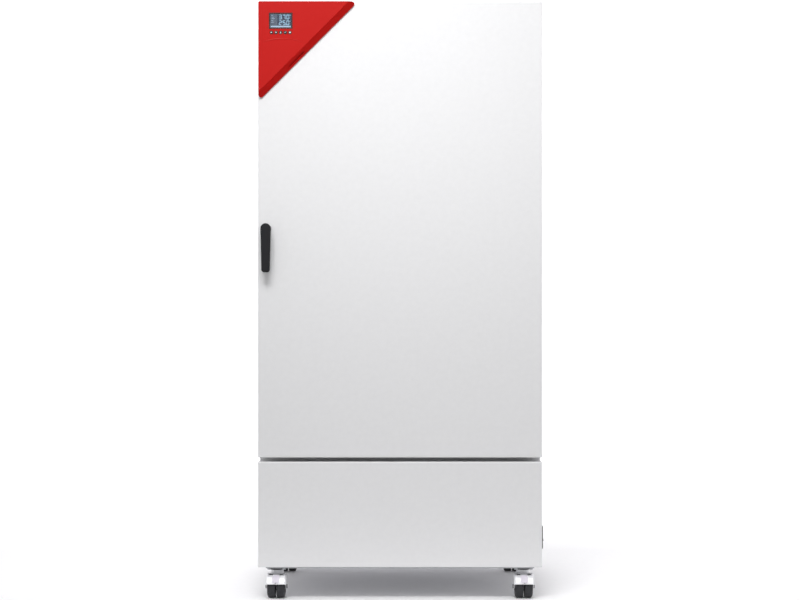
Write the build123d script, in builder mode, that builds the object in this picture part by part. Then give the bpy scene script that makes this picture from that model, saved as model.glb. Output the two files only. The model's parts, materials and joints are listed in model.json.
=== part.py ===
from build123d import *
from math import cos, radians, sin
import os

# Cooling incubator of the 400-litre class, standing on four castors. Millimetres, +Z up, the front faces -Y,
# and the origin lies on the floor below the middle of the overall box.

# Overall size; the depth runs from the door face to the rear panel.
cabinet_width = 925
cabinet_height = 1945
cabinet_depth = 800
handle_projection = 38

# Layers from front to back.
door_thickness = 73
seal_gap = 12
frame_depth = 14
duct_depth = 115
rear_insulation = 101

# Heights from the floor up.
castor_height = 100
base_plate_thickness = 4.5
lower_cover_height = 343
cover_gap = 14
deck_rise = 39.5
floor_insulation = 88
ceiling_insulation = 100

# Sheet metal and general fits.
sheet = 1.5
door_sheet = 1.5
liner_sheet = 1.5
pan_edge_radius = 2.5
front_flange_width = 45
bottom_flange_width = 45
side_insulation = 92.5
liner_flange_width = 45
seat_gap = 0.3
slip_fit = 0.05

# Moulded frame round the chamber mouth.
frame_foot_height = 70
frame_head_height = 45
frame_wall = 3
glass_recess_margin = 12

# Base plate and castors.
base_plate_inset = 25
base_front_inset = 10
base_rim_height = 22
castor_side_inset = 58
castor_front_inset = 65.5
castor_rear_inset = 152
castor_trail = 28
wheel_diameter = 75
wheel_width = 26.5
wheel_split = 5
wheel_shoulder_radius = 9
wheel_shoulder_chords = 3
wheel_edge = 1.5
wheel_dish_radius = 22
wheel_dish_depth = 3
axle_diameter = 8
axle_head_diameter = 13
axle_head_length = 2.5
hood_gap = 3
hood_sheet = 2.5
hood_cheek_gap = 1.2
hood_front_angle = 16
hood_rear_angle = 160
hood_shoulder = 4.5
hood_slot_width = 12
hood_slot_height = 3
hood_slot_offset = 17
hood_slot_drop = 3
hood_slot_reach = 6
fork_boss_radius = 10
race_diameter = 46
race_height = 7
race_gap = 0.4
crown_diameter = 44
crown_height = 26
kingpin_diameter = 10
castor_plate_length = 76
castor_plate_width = 66
castor_plate_thickness = 3
castor_plate_corner = 8
pedal_width = 25
pedal_thickness = 3
pedal_gap = 0.6
pedal_low_angle = 22
pedal_high_angle = 58
pedal_web = 3
pedal_hub_radius = 8
pedal_travel_angle = 12
pedal_web_angle = 12
pedal_slot_play = 2
pedal_oval_share = 0.62
pedal_slot_margin = 0.6

# Outer door hinges.
hinge_inset = 3
hinge_knuckle_radius = 5.5
hinge_pin_radius = 3
hinge_leaf_thickness = 3
hinge_leaf_width = 38
hinge_height = 78
hinge_leaf_gap = 0.8
hinge_end_margin = 150
hinge_count = 3

# Door handle and latch.
handle_inset = 27.5
handle_drop = 739.5
lever_top_radius = 16.5
lever_bottom_width = 27
lever_length = 158.6
lever_thickness = 15
lever_edge_radius = 4
lever_corner_radius = 9
handle_neck_diameter = 22
handle_base_diameter = 32
handle_base_thickness = 7
handle_base_edge = 1.5
spindle_diameter = 10
spindle_hole_margin = 1.5
cam_thickness = 5
cam_gap = 3
cam_hub_radius = 10
cam_hub_overlap = 3
keeper_circle_radius = 19
keeper_diameter = 7
keeper_clearance = 1
keeper_end_gap = 2
cam_reach = 29
cam_start_angle = 228
cam_end_angle = 297
cam_slot_lead_angle = 10
cam_slot_end_angle = 270
spindle_tail = 1
keeper_flange_diameter = 15
keeper_flange_thickness = 2

# Control panel, a right-angled triangle with its right angle at the door's top left corner.
panel_leg = 322
panel_side_inset = 3
panel_top_inset = 1.5
panel_thickness = 15
panel_corner_radius = 8
panel_square_radius = 4
panel_bevel_width = 20.5
panel_rim = 3.5
panel_wall = 2.5
grip_slot_length = 68
grip_slot_width = 8
grip_slot_depth = 4
grip_slot_offset = 46
grip_slot_inset = 8
grip_slot_corner = 2
electronics_bay_width = 92
electronics_bay_height = 86
bay_margin = 28
window_width = 73
window_height = 49
window_left = 36
window_top = 39
window_glass = 1.8
window_ledge = 2
window_fit = 0.1
button_count = 5
button_pitch = 15
button_diameter = 11
button_hole_gap = 0.3
button_projection = 1.2
button_flange_diameter = 13.4
button_flange_thickness = 1
button_stem_width = 4
button_travel = 0.8
button_first = 42.5
button_drop = 101.5
button_edge = 0.6

# Door liner, seal and inner glass door.
door_return_width = 15
door_liner_thickness = 2
liner_pressing_depth = 15
liner_pressing_side_margin = 27
liner_pressing_margin = 20
pressing_corner_radius = 20
gasket_width = 16
gasket_margin = 31
gasket_head_margin = 3.5
gasket_foot_margin = 11
gasket_edge = 2
glass_side_inset = 25
glass_overlap = 20
glass_thickness = 6
glass_setback = 3
glass_seal_width = 8
glass_seal_margin = 4
glass_corner_radius = 6
glass_hinge_offset = 7
glass_hinge_lead = 5
glass_knuckle_radius = 4
glass_pin_radius = 1.5
glass_plate_width = 30
glass_plate_height = 24
glass_plate_thickness = 3
glass_bracket_width = 27
glass_bracket_barrel = 10
glass_bracket_thickness = 2.5
glass_hinge_end_margin = 140
knob_diameter = 26
knob_height = 20
knob_neck_diameter = 14
knob_neck_height = 8
knob_inset = 30
knob_edge = 2

# Chamber furniture.
side_duct_width = 45
rib_width = 12
rib_thickness = 3
rib_pitch = 150
first_rib_rise = 105
rib_head_margin = 200
slot_columns = 3
slot_width = 44
slot_height = 6
slot_column_pitch = 130
rack_side_gap = 4
rack_back_gap = 10
rack_bar = 8
rack_corner_radius = 12
rack_wire = 4
rack_wire_sides = 6
rack_wire_bite = 0.6
rack_wire_count = 15
rack_cross_count = 2
rack_clearance = 0.3
rack_front_setback = 20
rack_stop_height = 18
inlet_height = 560
inlet_diameter = 176
inlet_hub_diameter = 44
inlet_blades = 12
inlet_rib = 7
inlet_slot_width = 9
outlet_slots = 9
outlet_slot_width = 44
outlet_slot_height = 10
outlet_slot_pitch = 64
outlet_margin = 70
port_bore = 30
port_wall = 2.5
port_flange_diameter = 52
port_flange_thickness = 2
port_rear_inset = 143
port_level = 3
plug_length = 70
plug_head_diameter = 44
plug_head_thickness = 8
plug_head_edge = 2
plug_draw = 0.9

# Air circuit and refrigeration.
fan_diameter = 170
fan_depth = 38
fan_blades = 9
fan_blade_thickness = 2
fan_blade_chord = 35
fan_blade_angle = 35
fan_blade_ring = 63
fan_plate_thickness = 2
fan_hub_diameter = 26
fan_shaft_diameter = 8
fan_motor_diameter = 88
fan_motor_length = 52
fan_motor_edge = 8
fan_front_gap = 8
heater_radius = 112
heater_tube = 8
heater_gap = 8
heater_sweep_angle = 300
heater_tube_sides = 8
heater_post_diameter = 16
heater_post_lead = 6
evaporator_side_margin = 110
evaporator_height = 240
evaporator_depth = 60
evaporator_drop = 250
evaporator_fins = 20
evaporator_tube_rows = 4
coil_fin_thickness = 3
coil_core_share = 0.4
coil_tube_radius = 5
coil_tube_sides = 8
coil_tube_reach = 10
probe_diameter = 6
probe_reach = 52
probe_inset = 150
probe_head_drop = 14
probe_grommet = 14
probe_step = 2
compressor_diameter = 172
compressor_height = 180
compressor_dome_radius = 60
compressor_dome_chords = 4
compressor_seam_height = 92
compressor_seam_width = 5
compressor_base_radius = 30
compressor_base_chords = 2
compressor_plate_thickness = 3
compressor_foot_height = 22
compressor_foot_diameter = 30
compressor_foot_spacing = 130
compressor_side_inset = 252.5
compressor_rear_inset = 240
condenser_width = 380
condenser_height = 270
condenser_depth = 48
condenser_fins = 18
condenser_side_inset = 282.5
condenser_setback = 27
condenser_tube_rows = 4
shroud_depth = 30
shroud_wall = 2
condenser_fan_diameter = 230
condenser_fan_gap = 5
condenser_fan_blades = 5
condenser_blade_width = 44
condenser_blade_thickness = 2.5
condenser_blade_pitch_angle = 28
condenser_hub_diameter = 62
condenser_hub_depth = 24
condenser_motor_diameter = 70
condenser_motor_length = 40
condenser_arm_width = 12
condenser_shaft_diameter = 8

# Rear closures, side connection block and mains inlet.
rear_setback = 3
rear_edge_gap = 0.5
grille_rows = 8
grille_columns = 3
grille_slot_height = 8
grille_pitch = 26
grille_left_margin = 31
grille_right_margin = 161
grille_column_gap = 50
inlet_side_inset = 82.5
inlet_z = 190
inlet_body_width = 50
inlet_body_height = 34
inlet_body_depth = 26
inlet_corner_radius = 4
inlet_pin_setback = 3
inlet_pin_width = 1.5
inlet_pin_height = 4
inlet_well_depth = 16
inlet_well_width = 26
inlet_well_height = 20
inlet_pin_spacing = 7
block_projection = 11
block_width = 44
block_height = 75
block_rise = 47.5
block_depth_inset = 97
block_recess_depth = 9.5
block_tail = 20
block_tail_inset = 5
block_edge_radius = 3
block_edge = 1
rocker_width = 20
rocker_length = 28
rocker_end_gap = 2
rocker_pivot_depth = 3.5
rocker_back = 3
rocker_crest = 5
rocker_dip = 1.7
rocker_gap = 0.5
rocker_rise = 1
rocker_tilt = 7
rocker_pin_diameter = 3
rocker_pin_length = 1.5

# Places worked out from the values above.
door_face_y = -(cabinet_depth - handle_projection) / 2
door_back_y = door_face_y + door_thickness
cabinet_front_y = door_back_y + seal_gap
mouth_y = cabinet_front_y + frame_depth
rear_y = door_face_y + cabinet_depth
closure_y = rear_y - rear_setback
duct_back_y = rear_y - rear_insulation
partition_y = duct_back_y - duct_depth

side_x = cabinet_width / 2
shell_bottom_z = castor_height + base_plate_thickness
cover_top_z = shell_bottom_z + lower_cover_height
door_bottom_z = cover_top_z + cover_gap
door_height = cabinet_height - door_bottom_z
deck_z = cover_top_z + deck_rise
chamber_floor_z = deck_z + floor_insulation
chamber_top_z = cabinet_height - ceiling_insulation
chamber_middle_z = (chamber_top_z + chamber_floor_z) / 2
chamber_height = chamber_top_z - chamber_floor_z
liner_width = cabinet_width - 2 * side_insulation

frame_half_width = side_x - front_flange_width
frame_bottom_z = chamber_floor_z - frame_foot_height
frame_top_z = cabinet_height - frame_head_height
glass_width = liner_width - 2 * glass_side_inset
glass_height = chamber_height + 2 * glass_overlap
recess_width = glass_width + 2 * glass_recess_margin
recess_height = glass_height + 2 * glass_recess_margin
guide_half_spread = liner_width / 2 - side_duct_width


def front_plane(y):
    """Upright plane at depth y, seen from the front: its x is X, its y is Z and it faces -Y."""
    return Plane.XZ.offset(-y)


def side_plane(x):
    """Upright plane at width x, seen from the right: its x is Y, its y is Z and it faces +X."""
    return Plane.YZ.offset(x)


def rectangle_between(low, high):
    """Rectangle in the sketch being drawn, from its low corner to its high corner."""
    with Locations(((low[0] + high[0]) / 2, (low[1] + high[1]) / 2)):
        Rectangle(high[0] - low[0], high[1] - low[1])


def rectangle_hole(low, high):
    """The same rectangle, cut out of the sketch being drawn."""
    with Locations(((low[0] + high[0]) / 2, (low[1] + high[1]) / 2)):
        Rectangle(high[0] - low[0], high[1] - low[1], mode=Mode.SUBTRACT)


def arc_points(centre, radius, start_angle, end_angle, chords):
    """Ends of the straight chords that stand for an arc."""
    turn = (end_angle - start_angle) / chords
    angles = [radians(start_angle + step * turn) for step in range(chords + 1)]
    return [(centre[0] + radius * cos(angle), centre[1] + radius * sin(angle)) for angle in angles]


os.makedirs("parts", exist_ok=True)


# Base plate with a folded rim that the housing stands around.
base_front_y = door_face_y + base_front_inset
base_back_y = rear_y - base_plate_inset
base_half_width = side_x - base_plate_inset
rim_half_width = side_x - bottom_flange_width - sheet
castor_front_y = door_face_y + castor_front_inset
castor_rear_y = rear_y - castor_rear_inset
castor_x = side_x - castor_side_inset
castor_places = {
    "front_left": (-castor_x, castor_front_y),
    "front_right": (castor_x, castor_front_y),
    "rear_left": (-castor_x, castor_rear_y),
    "rear_right": (castor_x, castor_rear_y),
}

with BuildPart() as base_chassis:
    with BuildSketch(Plane.XY.offset(castor_height)):
        rectangle_between((-base_half_width, base_front_y), (base_half_width, base_back_y))
    extrude(amount=base_plate_thickness)
    with BuildSketch(Plane.XY.offset(shell_bottom_z)):
        rectangle_between(
            (-rim_half_width, cabinet_front_y + bottom_flange_width), (rim_half_width, base_back_y)
        )
        rectangle_hole(
            (-rim_half_width + sheet, cabinet_front_y + bottom_flange_width + sheet),
            (rim_half_width - sheet, base_back_y - sheet),
        )
    extrude(amount=base_rim_height)
base_chassis.part.label = "base_chassis"
export_step(base_chassis.part, "parts/base_chassis.step")


# Outer housing: one folded sheet over both sides and the top, with return flanges in front and at the foot.
port_y = partition_y - port_rear_inset
port_z = chamber_floor_z + first_rib_rise + port_level * rib_pitch + rib_pitch / 2
block_front_y = door_face_y + block_depth_inset
block_low_z = shell_bottom_z + block_rise
block_middle_y = block_front_y + block_width / 2
block_middle_z = block_low_z + block_height / 2

with BuildPart() as outer_housing:
    with BuildSketch(front_plane(rear_y)):
        rectangle_between((-side_x, shell_bottom_z), (side_x, cabinet_height))
        rectangle_hole((-side_x + sheet, shell_bottom_z), (side_x - sheet, cabinet_height - sheet))
    extrude(amount=rear_y - cabinet_front_y)
    with BuildSketch(front_plane(cabinet_front_y + sheet)):
        rectangle_between((-side_x, shell_bottom_z), (side_x, cabinet_height))
        rectangle_hole((-frame_half_width, frame_bottom_z), (frame_half_width, frame_top_z))
        rectangle_hole(
            (-frame_half_width, shell_bottom_z + front_flange_width),
            (frame_half_width, cover_top_z - front_flange_width),
        )
    extrude(amount=sheet)
    with BuildSketch(Plane.XY.offset(shell_bottom_z)):
        rectangle_between((-side_x, cabinet_front_y), (side_x, closure_y - sheet))
        rectangle_hole(
            (-side_x + bottom_flange_width, cabinet_front_y + bottom_flange_width),
            (side_x - bottom_flange_width, closure_y - sheet),
        )
    extrude(amount=sheet)
    with BuildSketch(side_plane(-side_x)):
        with Locations((port_y, port_z)):
            Circle(port_bore / 2 + port_wall)
    extrude(amount=sheet, mode=Mode.SUBTRACT)
    with BuildSketch(side_plane(side_x - sheet)):
        with Locations((block_middle_y, block_middle_z)):
            Rectangle(block_width - 2 * block_tail_inset, block_height - 2 * block_tail_inset)
    extrude(amount=sheet, mode=Mode.SUBTRACT)
outer_housing.part.label = "outer_housing"
export_step(outer_housing.part, "parts/outer_housing.step")


# Deck between the insulated body and the machine compartment.
inner_half_width = side_x - sheet
with BuildPart() as machine_deck:
    with BuildSketch(Plane.XY.offset(deck_z)):
        rectangle_between(
            (-inner_half_width, cabinet_front_y + sheet), (inner_half_width, closure_y - sheet)
        )
    extrude(amount=sheet)
machine_deck.part.label = "machine_deck"
export_step(machine_deck.part, "parts/machine_deck.step")


# Rear panel behind the insulation, set in from the housing's rear edge.
with BuildPart() as rear_panel:
    with BuildSketch(front_plane(closure_y)):
        rectangle_between((-inner_half_width, deck_z), (inner_half_width, cabinet_height - sheet))
    extrude(amount=sheet)
rear_panel.part.label = "rear_panel"
export_step(rear_panel.part, "parts/rear_panel.step")


# Lower rear grille over the machine compartment, with the opening for the mains inlet.
inlet_x = side_x - inlet_side_inset
grille_low_z = shell_bottom_z
grille_span = 2 * inner_half_width - grille_left_margin - grille_right_margin
grille_slot_width = (grille_span - (grille_columns - 1) * grille_column_gap) / grille_columns
grille_x = (grille_left_margin - grille_right_margin) / 2
with BuildPart() as rear_grille:
    with BuildSketch(front_plane(closure_y)):
        rectangle_between((-inner_half_width, grille_low_z), (inner_half_width, deck_z - rear_edge_gap))
        with Locations((grille_x, (grille_low_z + deck_z) / 2)):
            with GridLocations(
                grille_slot_width + grille_column_gap, grille_pitch, grille_columns, grille_rows
            ):
                Rectangle(grille_slot_width, grille_slot_height, mode=Mode.SUBTRACT)
        with Locations((inlet_x, inlet_z)):
            Rectangle(inlet_body_width, inlet_body_height, mode=Mode.SUBTRACT)
    extrude(amount=sheet)
rear_grille.part.label = "rear_grille"
export_step(rear_grille.part, "parts/rear_grille.step")


# Mains inlet with three flat pins in its well.
with BuildPart() as mains_inlet:
    with BuildSketch(front_plane(closure_y)):
        with Locations((inlet_x, inlet_z)):
            RectangleRounded(inlet_body_width, inlet_body_height, inlet_corner_radius)
    extrude(amount=inlet_body_depth)
    with BuildSketch(front_plane(closure_y)):
        with Locations((inlet_x, inlet_z)):
            RectangleRounded(inlet_well_width, inlet_well_height, inlet_corner_radius)
    extrude(amount=inlet_well_depth, mode=Mode.SUBTRACT)
    with BuildSketch(front_plane(closure_y - inlet_well_depth)):
        with Locations((inlet_x, inlet_z)):
            with GridLocations(inlet_pin_spacing, 0, 3, 1):
                Rectangle(inlet_pin_width, inlet_pin_height)
    extrude(amount=-(inlet_well_depth - inlet_pin_setback))
mains_inlet.part.label = "mains_inlet"
export_step(mains_inlet.part, "parts/mains_inlet.step")


# Stainless liner: a deep tub with a flange round its mouth.
liner_half_width = liner_width / 2
liner_low = (-liner_half_width, chamber_floor_z)
liner_high = (liner_half_width, chamber_top_z)
liner_outer_low = (-liner_half_width - liner_sheet, chamber_floor_z - liner_sheet)
liner_outer_high = (liner_half_width + liner_sheet, chamber_top_z + liner_sheet)
with BuildPart() as inner_chamber:
    with BuildSketch(front_plane(duct_back_y + liner_sheet)):
        rectangle_between(liner_outer_low, liner_outer_high)
    extrude(amount=duct_back_y + liner_sheet - mouth_y)
    with BuildSketch(front_plane(mouth_y + liner_sheet)):
        with Locations((0, chamber_middle_z)):
            Rectangle(liner_width + 2 * liner_flange_width, chamber_height + 2 * liner_flange_width)
    extrude(amount=liner_sheet)
    with BuildSketch(front_plane(duct_back_y)):
        rectangle_between(liner_low, liner_high)
    extrude(amount=duct_back_y - mouth_y, mode=Mode.SUBTRACT)
    with BuildSketch(side_plane(-liner_half_width - liner_sheet)):
        with Locations((port_y, port_z)):
            Circle(port_bore / 2 + port_wall)
    extrude(amount=liner_sheet, mode=Mode.SUBTRACT)
inner_chamber.part.label = "inner_chamber"
export_step(inner_chamber.part, "parts/inner_chamber.step")


# Foam between the housing and the liner.
with BuildPart() as insulation_foam:
    with BuildSketch(front_plane(closure_y - sheet)):
        rectangle_between((-inner_half_width, deck_z + sheet), (inner_half_width, cabinet_height - sheet))
    extrude(amount=closure_y - sheet - mouth_y - liner_sheet)
    with BuildSketch(front_plane(duct_back_y + liner_sheet)):
        rectangle_between(liner_outer_low, liner_outer_high)
    extrude(amount=duct_back_y - mouth_y, mode=Mode.SUBTRACT)
    with BuildSketch(side_plane(-side_x)):
        with Locations((port_y, port_z)):
            Circle(port_bore / 2 + port_wall)
    extrude(amount=side_x - liner_half_width, mode=Mode.SUBTRACT)
insulation_foam.part.label = "insulation_foam"
export_step(insulation_foam.part, "parts/insulation_foam.step")


# Moulded frame round the mouth: a front web that carries the door seal and a wall round the glass recess.
with BuildPart() as front_frame:
    with BuildSketch(front_plane(cabinet_front_y + frame_wall)):
        rectangle_between((-frame_half_width, frame_bottom_z), (frame_half_width, frame_top_z))
        with Locations((0, chamber_middle_z)):
            Rectangle(recess_width, recess_height, mode=Mode.SUBTRACT)
    extrude(amount=frame_wall)
    with BuildSketch(front_plane(mouth_y)):
        with Locations((0, chamber_middle_z)):
            Rectangle(recess_width + 2 * frame_wall, recess_height + 2 * frame_wall)
            Rectangle(recess_width, recess_height, mode=Mode.SUBTRACT)
    extrude(amount=frame_depth - frame_wall)
front_frame.part.label = "front_frame"
export_step(front_frame.part, "parts/front_frame.step")


# Slotted air guides on both sides of the chamber, with ribs that carry the racks.
guide_low_z = chamber_floor_z + seat_gap
guide_high_z = chamber_top_z - seat_gap
rib_back_y = partition_y - rack_front_setback
rib_front_y = mouth_y + rack_front_setback
rib_count = int((chamber_height - first_rib_rise - rib_head_margin) // rib_pitch) + 1
first_slot_rise = first_rib_rise - rib_pitch / 4
slot_row_count = int((chamber_height - first_slot_rise - slot_height) // rib_pitch) + 1


def air_guide(side):
    """Folded guide sheet on the side given by -1 for left or 1 for right."""
    inner_x = side * guide_half_spread
    outer_x = side * (guide_half_spread + sheet)
    wall_x = side * (liner_half_width - seat_gap)
    rib_x = side * (guide_half_spread - rib_width)
    with BuildPart() as guide:
        with BuildSketch(Plane.XY.offset(guide_low_z)):
            rectangle_between((min(inner_x, outer_x), mouth_y), (max(inner_x, outer_x), partition_y))
            rectangle_between((min(inner_x, wall_x), mouth_y), (max(inner_x, wall_x), mouth_y + sheet))
        extrude(amount=guide_high_z - guide_low_z)
        with BuildSketch(side_plane(min(inner_x, outer_x))):
            for row in range(slot_row_count):
                slot_z = chamber_floor_z + first_slot_rise + row * rib_pitch
                with Locations(((mouth_y + partition_y) / 2, slot_z)):
                    with GridLocations(slot_column_pitch, 0, slot_columns, 1):
                        Rectangle(slot_width, slot_height)
            if side < 0:
                with Locations((port_y, port_z)):
                    Circle(port_bore / 2 + port_wall)
        extrude(amount=sheet, mode=Mode.SUBTRACT)
        with BuildSketch(side_plane(min(inner_x, rib_x))):
            for level in range(rib_count):
                rib_top_z = chamber_floor_z + first_rib_rise + level * rib_pitch
                rectangle_between((rib_front_y, rib_top_z - rib_thickness), (rib_back_y, rib_top_z))
        extrude(amount=rib_width)
    return guide


left_air_guide = air_guide(-1)
left_air_guide.part.label = "left_air_guide"
export_step(left_air_guide.part, "parts/left_air_guide.step")
right_air_guide = air_guide(1)
right_air_guide.part.label = "right_air_guide"
export_step(right_air_guide.part, "parts/right_air_guide.step")


# Rear partition with a spoked inlet in front of the fan and rows of outlet slots.
inlet_centre_z = chamber_floor_z + inlet_height
inlet_slot_length = (inlet_diameter - inlet_hub_diameter) / 2 - inlet_rib
with BuildPart() as rear_partition:
    with BuildSketch(front_plane(partition_y + sheet)):
        rectangle_between(
            (-liner_half_width + seat_gap, guide_low_z), (liner_half_width - seat_gap, guide_high_z)
        )
        with Locations((0, inlet_centre_z)):
            with PolarLocations((inlet_diameter + inlet_hub_diameter) / 4, inlet_blades):
                Rectangle(inlet_slot_length, inlet_slot_width, mode=Mode.SUBTRACT)
        for row_z in (chamber_floor_z + outlet_margin, chamber_top_z - outlet_margin):
            with Locations((0, row_z)):
                with GridLocations(outlet_slot_pitch, 0, outlet_slots, 1):
                    Rectangle(outlet_slot_width, outlet_slot_height, mode=Mode.SUBTRACT)
        with Locations((guide_half_spread - probe_inset, chamber_top_z - probe_head_drop)):
            Circle(probe_grommet / 2 - probe_step, mode=Mode.SUBTRACT)
    extrude(amount=sheet)
rear_partition.part.label = "rear_partition"
export_step(rear_partition.part, "parts/rear_partition.step")


# Temperature probe in its grommet, high at the back of the chamber.
with BuildPart() as temperature_sensor:
    with BuildSketch(front_plane(partition_y)):
        with Locations((guide_half_spread - probe_inset, chamber_top_z - probe_head_drop)):
            Circle(probe_grommet / 2)
    extrude(amount=probe_step)
    with BuildSketch(front_plane(partition_y + sheet)):
        with Locations((guide_half_spread - probe_inset, chamber_top_z - probe_head_drop)):
            Circle(probe_grommet / 2 - probe_step)
    extrude(amount=sheet)
    with BuildSketch(front_plane(partition_y)):
        with Locations((guide_half_spread - probe_inset, chamber_top_z - probe_head_drop)):
            Circle(probe_diameter / 2)
    extrude(amount=probe_reach)
temperature_sensor.part.label = "temperature_sensor"
export_step(temperature_sensor.part, "parts/temperature_sensor.step")


# Circulation fan motor on the liner's rear wall, with the shaft that carries the impeller.
fan_front_y = partition_y + sheet + fan_front_gap
fan_back_y = fan_front_y + fan_depth
motor_front_y = duct_back_y - fan_motor_length
with BuildPart() as circulation_fan_motor:
    with BuildSketch(front_plane(duct_back_y)):
        with Locations((0, inlet_centre_z)):
            Circle(fan_motor_diameter / 2)
    extrude(amount=fan_motor_length)
    chamfer(circulation_fan_motor.edges().group_by(Axis.Y)[0], fan_motor_edge)
    with BuildSketch(front_plane(motor_front_y)):
        with Locations((0, inlet_centre_z)):
            Circle(fan_shaft_diameter / 2)
    extrude(amount=motor_front_y - fan_front_y)
circulation_fan_motor.part.label = "circulation_fan_motor"
export_step(circulation_fan_motor.part, "parts/circulation_fan_motor.step")


# Impeller: a back plate, a hub that runs on the shaft and a ring of slanted blades.
with BuildPart() as circulation_fan:
    with BuildSketch(front_plane(fan_back_y)):
        with Locations((0, inlet_centre_z)):
            Circle(fan_diameter / 2)
    extrude(amount=fan_plate_thickness)
    with BuildSketch(front_plane(fan_back_y)):
        with Locations((0, inlet_centre_z)):
            Circle(fan_hub_diameter / 2)
    extrude(amount=fan_depth - fan_plate_thickness)
    with BuildSketch(front_plane(fan_back_y)):
        with Locations((0, inlet_centre_z)):
            with PolarLocations(fan_blade_ring, fan_blades):
                Rectangle(fan_blade_chord, fan_blade_thickness, rotation=fan_blade_angle)
    extrude(amount=fan_depth)
    with BuildSketch(front_plane(fan_back_y)):
        with Locations((0, inlet_centre_z)):
            Circle(fan_shaft_diameter / 2 + slip_fit)
    extrude(amount=fan_depth, mode=Mode.SUBTRACT)
circulation_fan.part.label = "circulation_fan"
export_step(circulation_fan.part, "parts/circulation_fan.step")


# Tubular heater in a ring behind the fan; its ends run into two posts on the liner's rear wall.
heater_y = fan_back_y + heater_gap
with BuildPart() as heater_coil:
    with BuildSketch(Plane(origin=(heater_radius, heater_y, inlet_centre_z), z_dir=(0, 0, 1))):
        RegularPolygon(heater_tube / 2, heater_tube_sides)
    revolve(axis=Axis((0, heater_y, inlet_centre_z), (0, -1, 0)), revolution_arc=heater_sweep_angle)
    with BuildSketch(front_plane(duct_back_y)):
        with Locations((0, inlet_centre_z)):
            for angle in (0, heater_sweep_angle):
                with PolarLocations(heater_radius, 1, start_angle=angle):
                    Circle(heater_post_diameter / 2)
    extrude(amount=duct_back_y - heater_y + heater_post_lead)
heater_coil.part.label = "heater_coil"
export_step(heater_coil.part, "parts/heater_coil.step")


def finned_coil(middle_x, back_y, low_z, width, height, depth, fins, tube_rows):
    """Finned block: a core with upright fins across its width and the tubes' return bends at both sides."""
    front_y = back_y - depth
    with BuildPart() as coil:
        with BuildSketch(Plane.XY.offset(low_z)):
            with Locations((middle_x, (front_y + back_y) / 2)):
                Rectangle(width, depth * coil_core_share)
                with GridLocations((width - coil_fin_thickness) / (fins - 1), 0, fins, 1):
                    Rectangle(coil_fin_thickness, depth)
        extrude(amount=height)
        tube_pitch = height / tube_rows
        for side in (-1, 1):
            end_plane = Plane(
                origin=(middle_x + side * width / 2, (front_y + back_y) / 2, low_z + height / 2),
                x_dir=(0, 1, 0),
                z_dir=(side, 0, 0),
            )
            with BuildSketch(end_plane):
                with GridLocations(0, tube_pitch, 1, tube_rows):
                    RegularPolygon(coil_tube_radius, coil_tube_sides)
            extrude(amount=coil_tube_reach)
    return coil


# Evaporator below the fan, against the liner's rear wall.
evaporator_low_z = inlet_centre_z - evaporator_drop - evaporator_height / 2
evaporator_width = liner_width - 2 * evaporator_side_margin
evaporator_coil = finned_coil(
    0, duct_back_y, evaporator_low_z, evaporator_width, evaporator_height, evaporator_depth,
    evaporator_fins, evaporator_tube_rows,
)
evaporator_coil.part.label = "evaporator_coil"
export_step(evaporator_coil.part, "parts/evaporator_coil.step")

# Condenser at the back of the machine compartment.
condenser_x = -side_x + condenser_side_inset
condenser_back_y = closure_y - condenser_setback
condenser_front_y = condenser_back_y - condenser_depth
condenser_coil = finned_coil(
    condenser_x, condenser_back_y, shell_bottom_z, condenser_width, condenser_height, condenser_depth,
    condenser_fins, condenser_tube_rows,
)
condenser_coil.part.label = "condenser_coil"
export_step(condenser_coil.part, "parts/condenser_coil.step")


# Fan shroud in front of the condenser, with the fan motor on four arms.
condenser_fan_z = shell_bottom_z + condenser_height / 2
shroud_front_y = condenser_front_y - shroud_depth
shroud_size = condenser_height
shroud_opening_radius = condenser_fan_diameter / 2 + condenser_fan_gap
condenser_fan_y = shroud_front_y + shroud_depth / 2
shroud_plane = Plane(
    origin=(condenser_x, condenser_front_y, condenser_fan_z), x_dir=(1, 0, 0), z_dir=(0, -1, 0)
)
motor_plane = shroud_plane.offset(shroud_depth)
with BuildPart() as condenser_fan_shroud:
    with BuildSketch(shroud_plane):
        Rectangle(shroud_size, shroud_size)
        Rectangle(shroud_size - 2 * shroud_wall, shroud_size - 2 * shroud_wall, mode=Mode.SUBTRACT)
    extrude(amount=shroud_depth)
    with BuildSketch(motor_plane):
        Rectangle(shroud_size, shroud_size)
        Circle(shroud_opening_radius, mode=Mode.SUBTRACT)
    extrude(amount=-shroud_wall)
    with BuildSketch(motor_plane):
        Rectangle(shroud_size - shroud_wall, condenser_arm_width)
        Rectangle(condenser_arm_width, shroud_size - shroud_wall)
    extrude(amount=shroud_wall)
    with BuildSketch(motor_plane):
        Circle(condenser_motor_diameter / 2)
    extrude(amount=condenser_motor_length)
    with BuildSketch(motor_plane):
        Circle(condenser_shaft_diameter / 2)
    extrude(amount=-(shroud_depth + condenser_hub_depth) / 2)
condenser_fan_shroud.part.label = "condenser_fan_shroud"
export_step(condenser_fan_shroud.part, "parts/condenser_fan_shroud.step")


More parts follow.
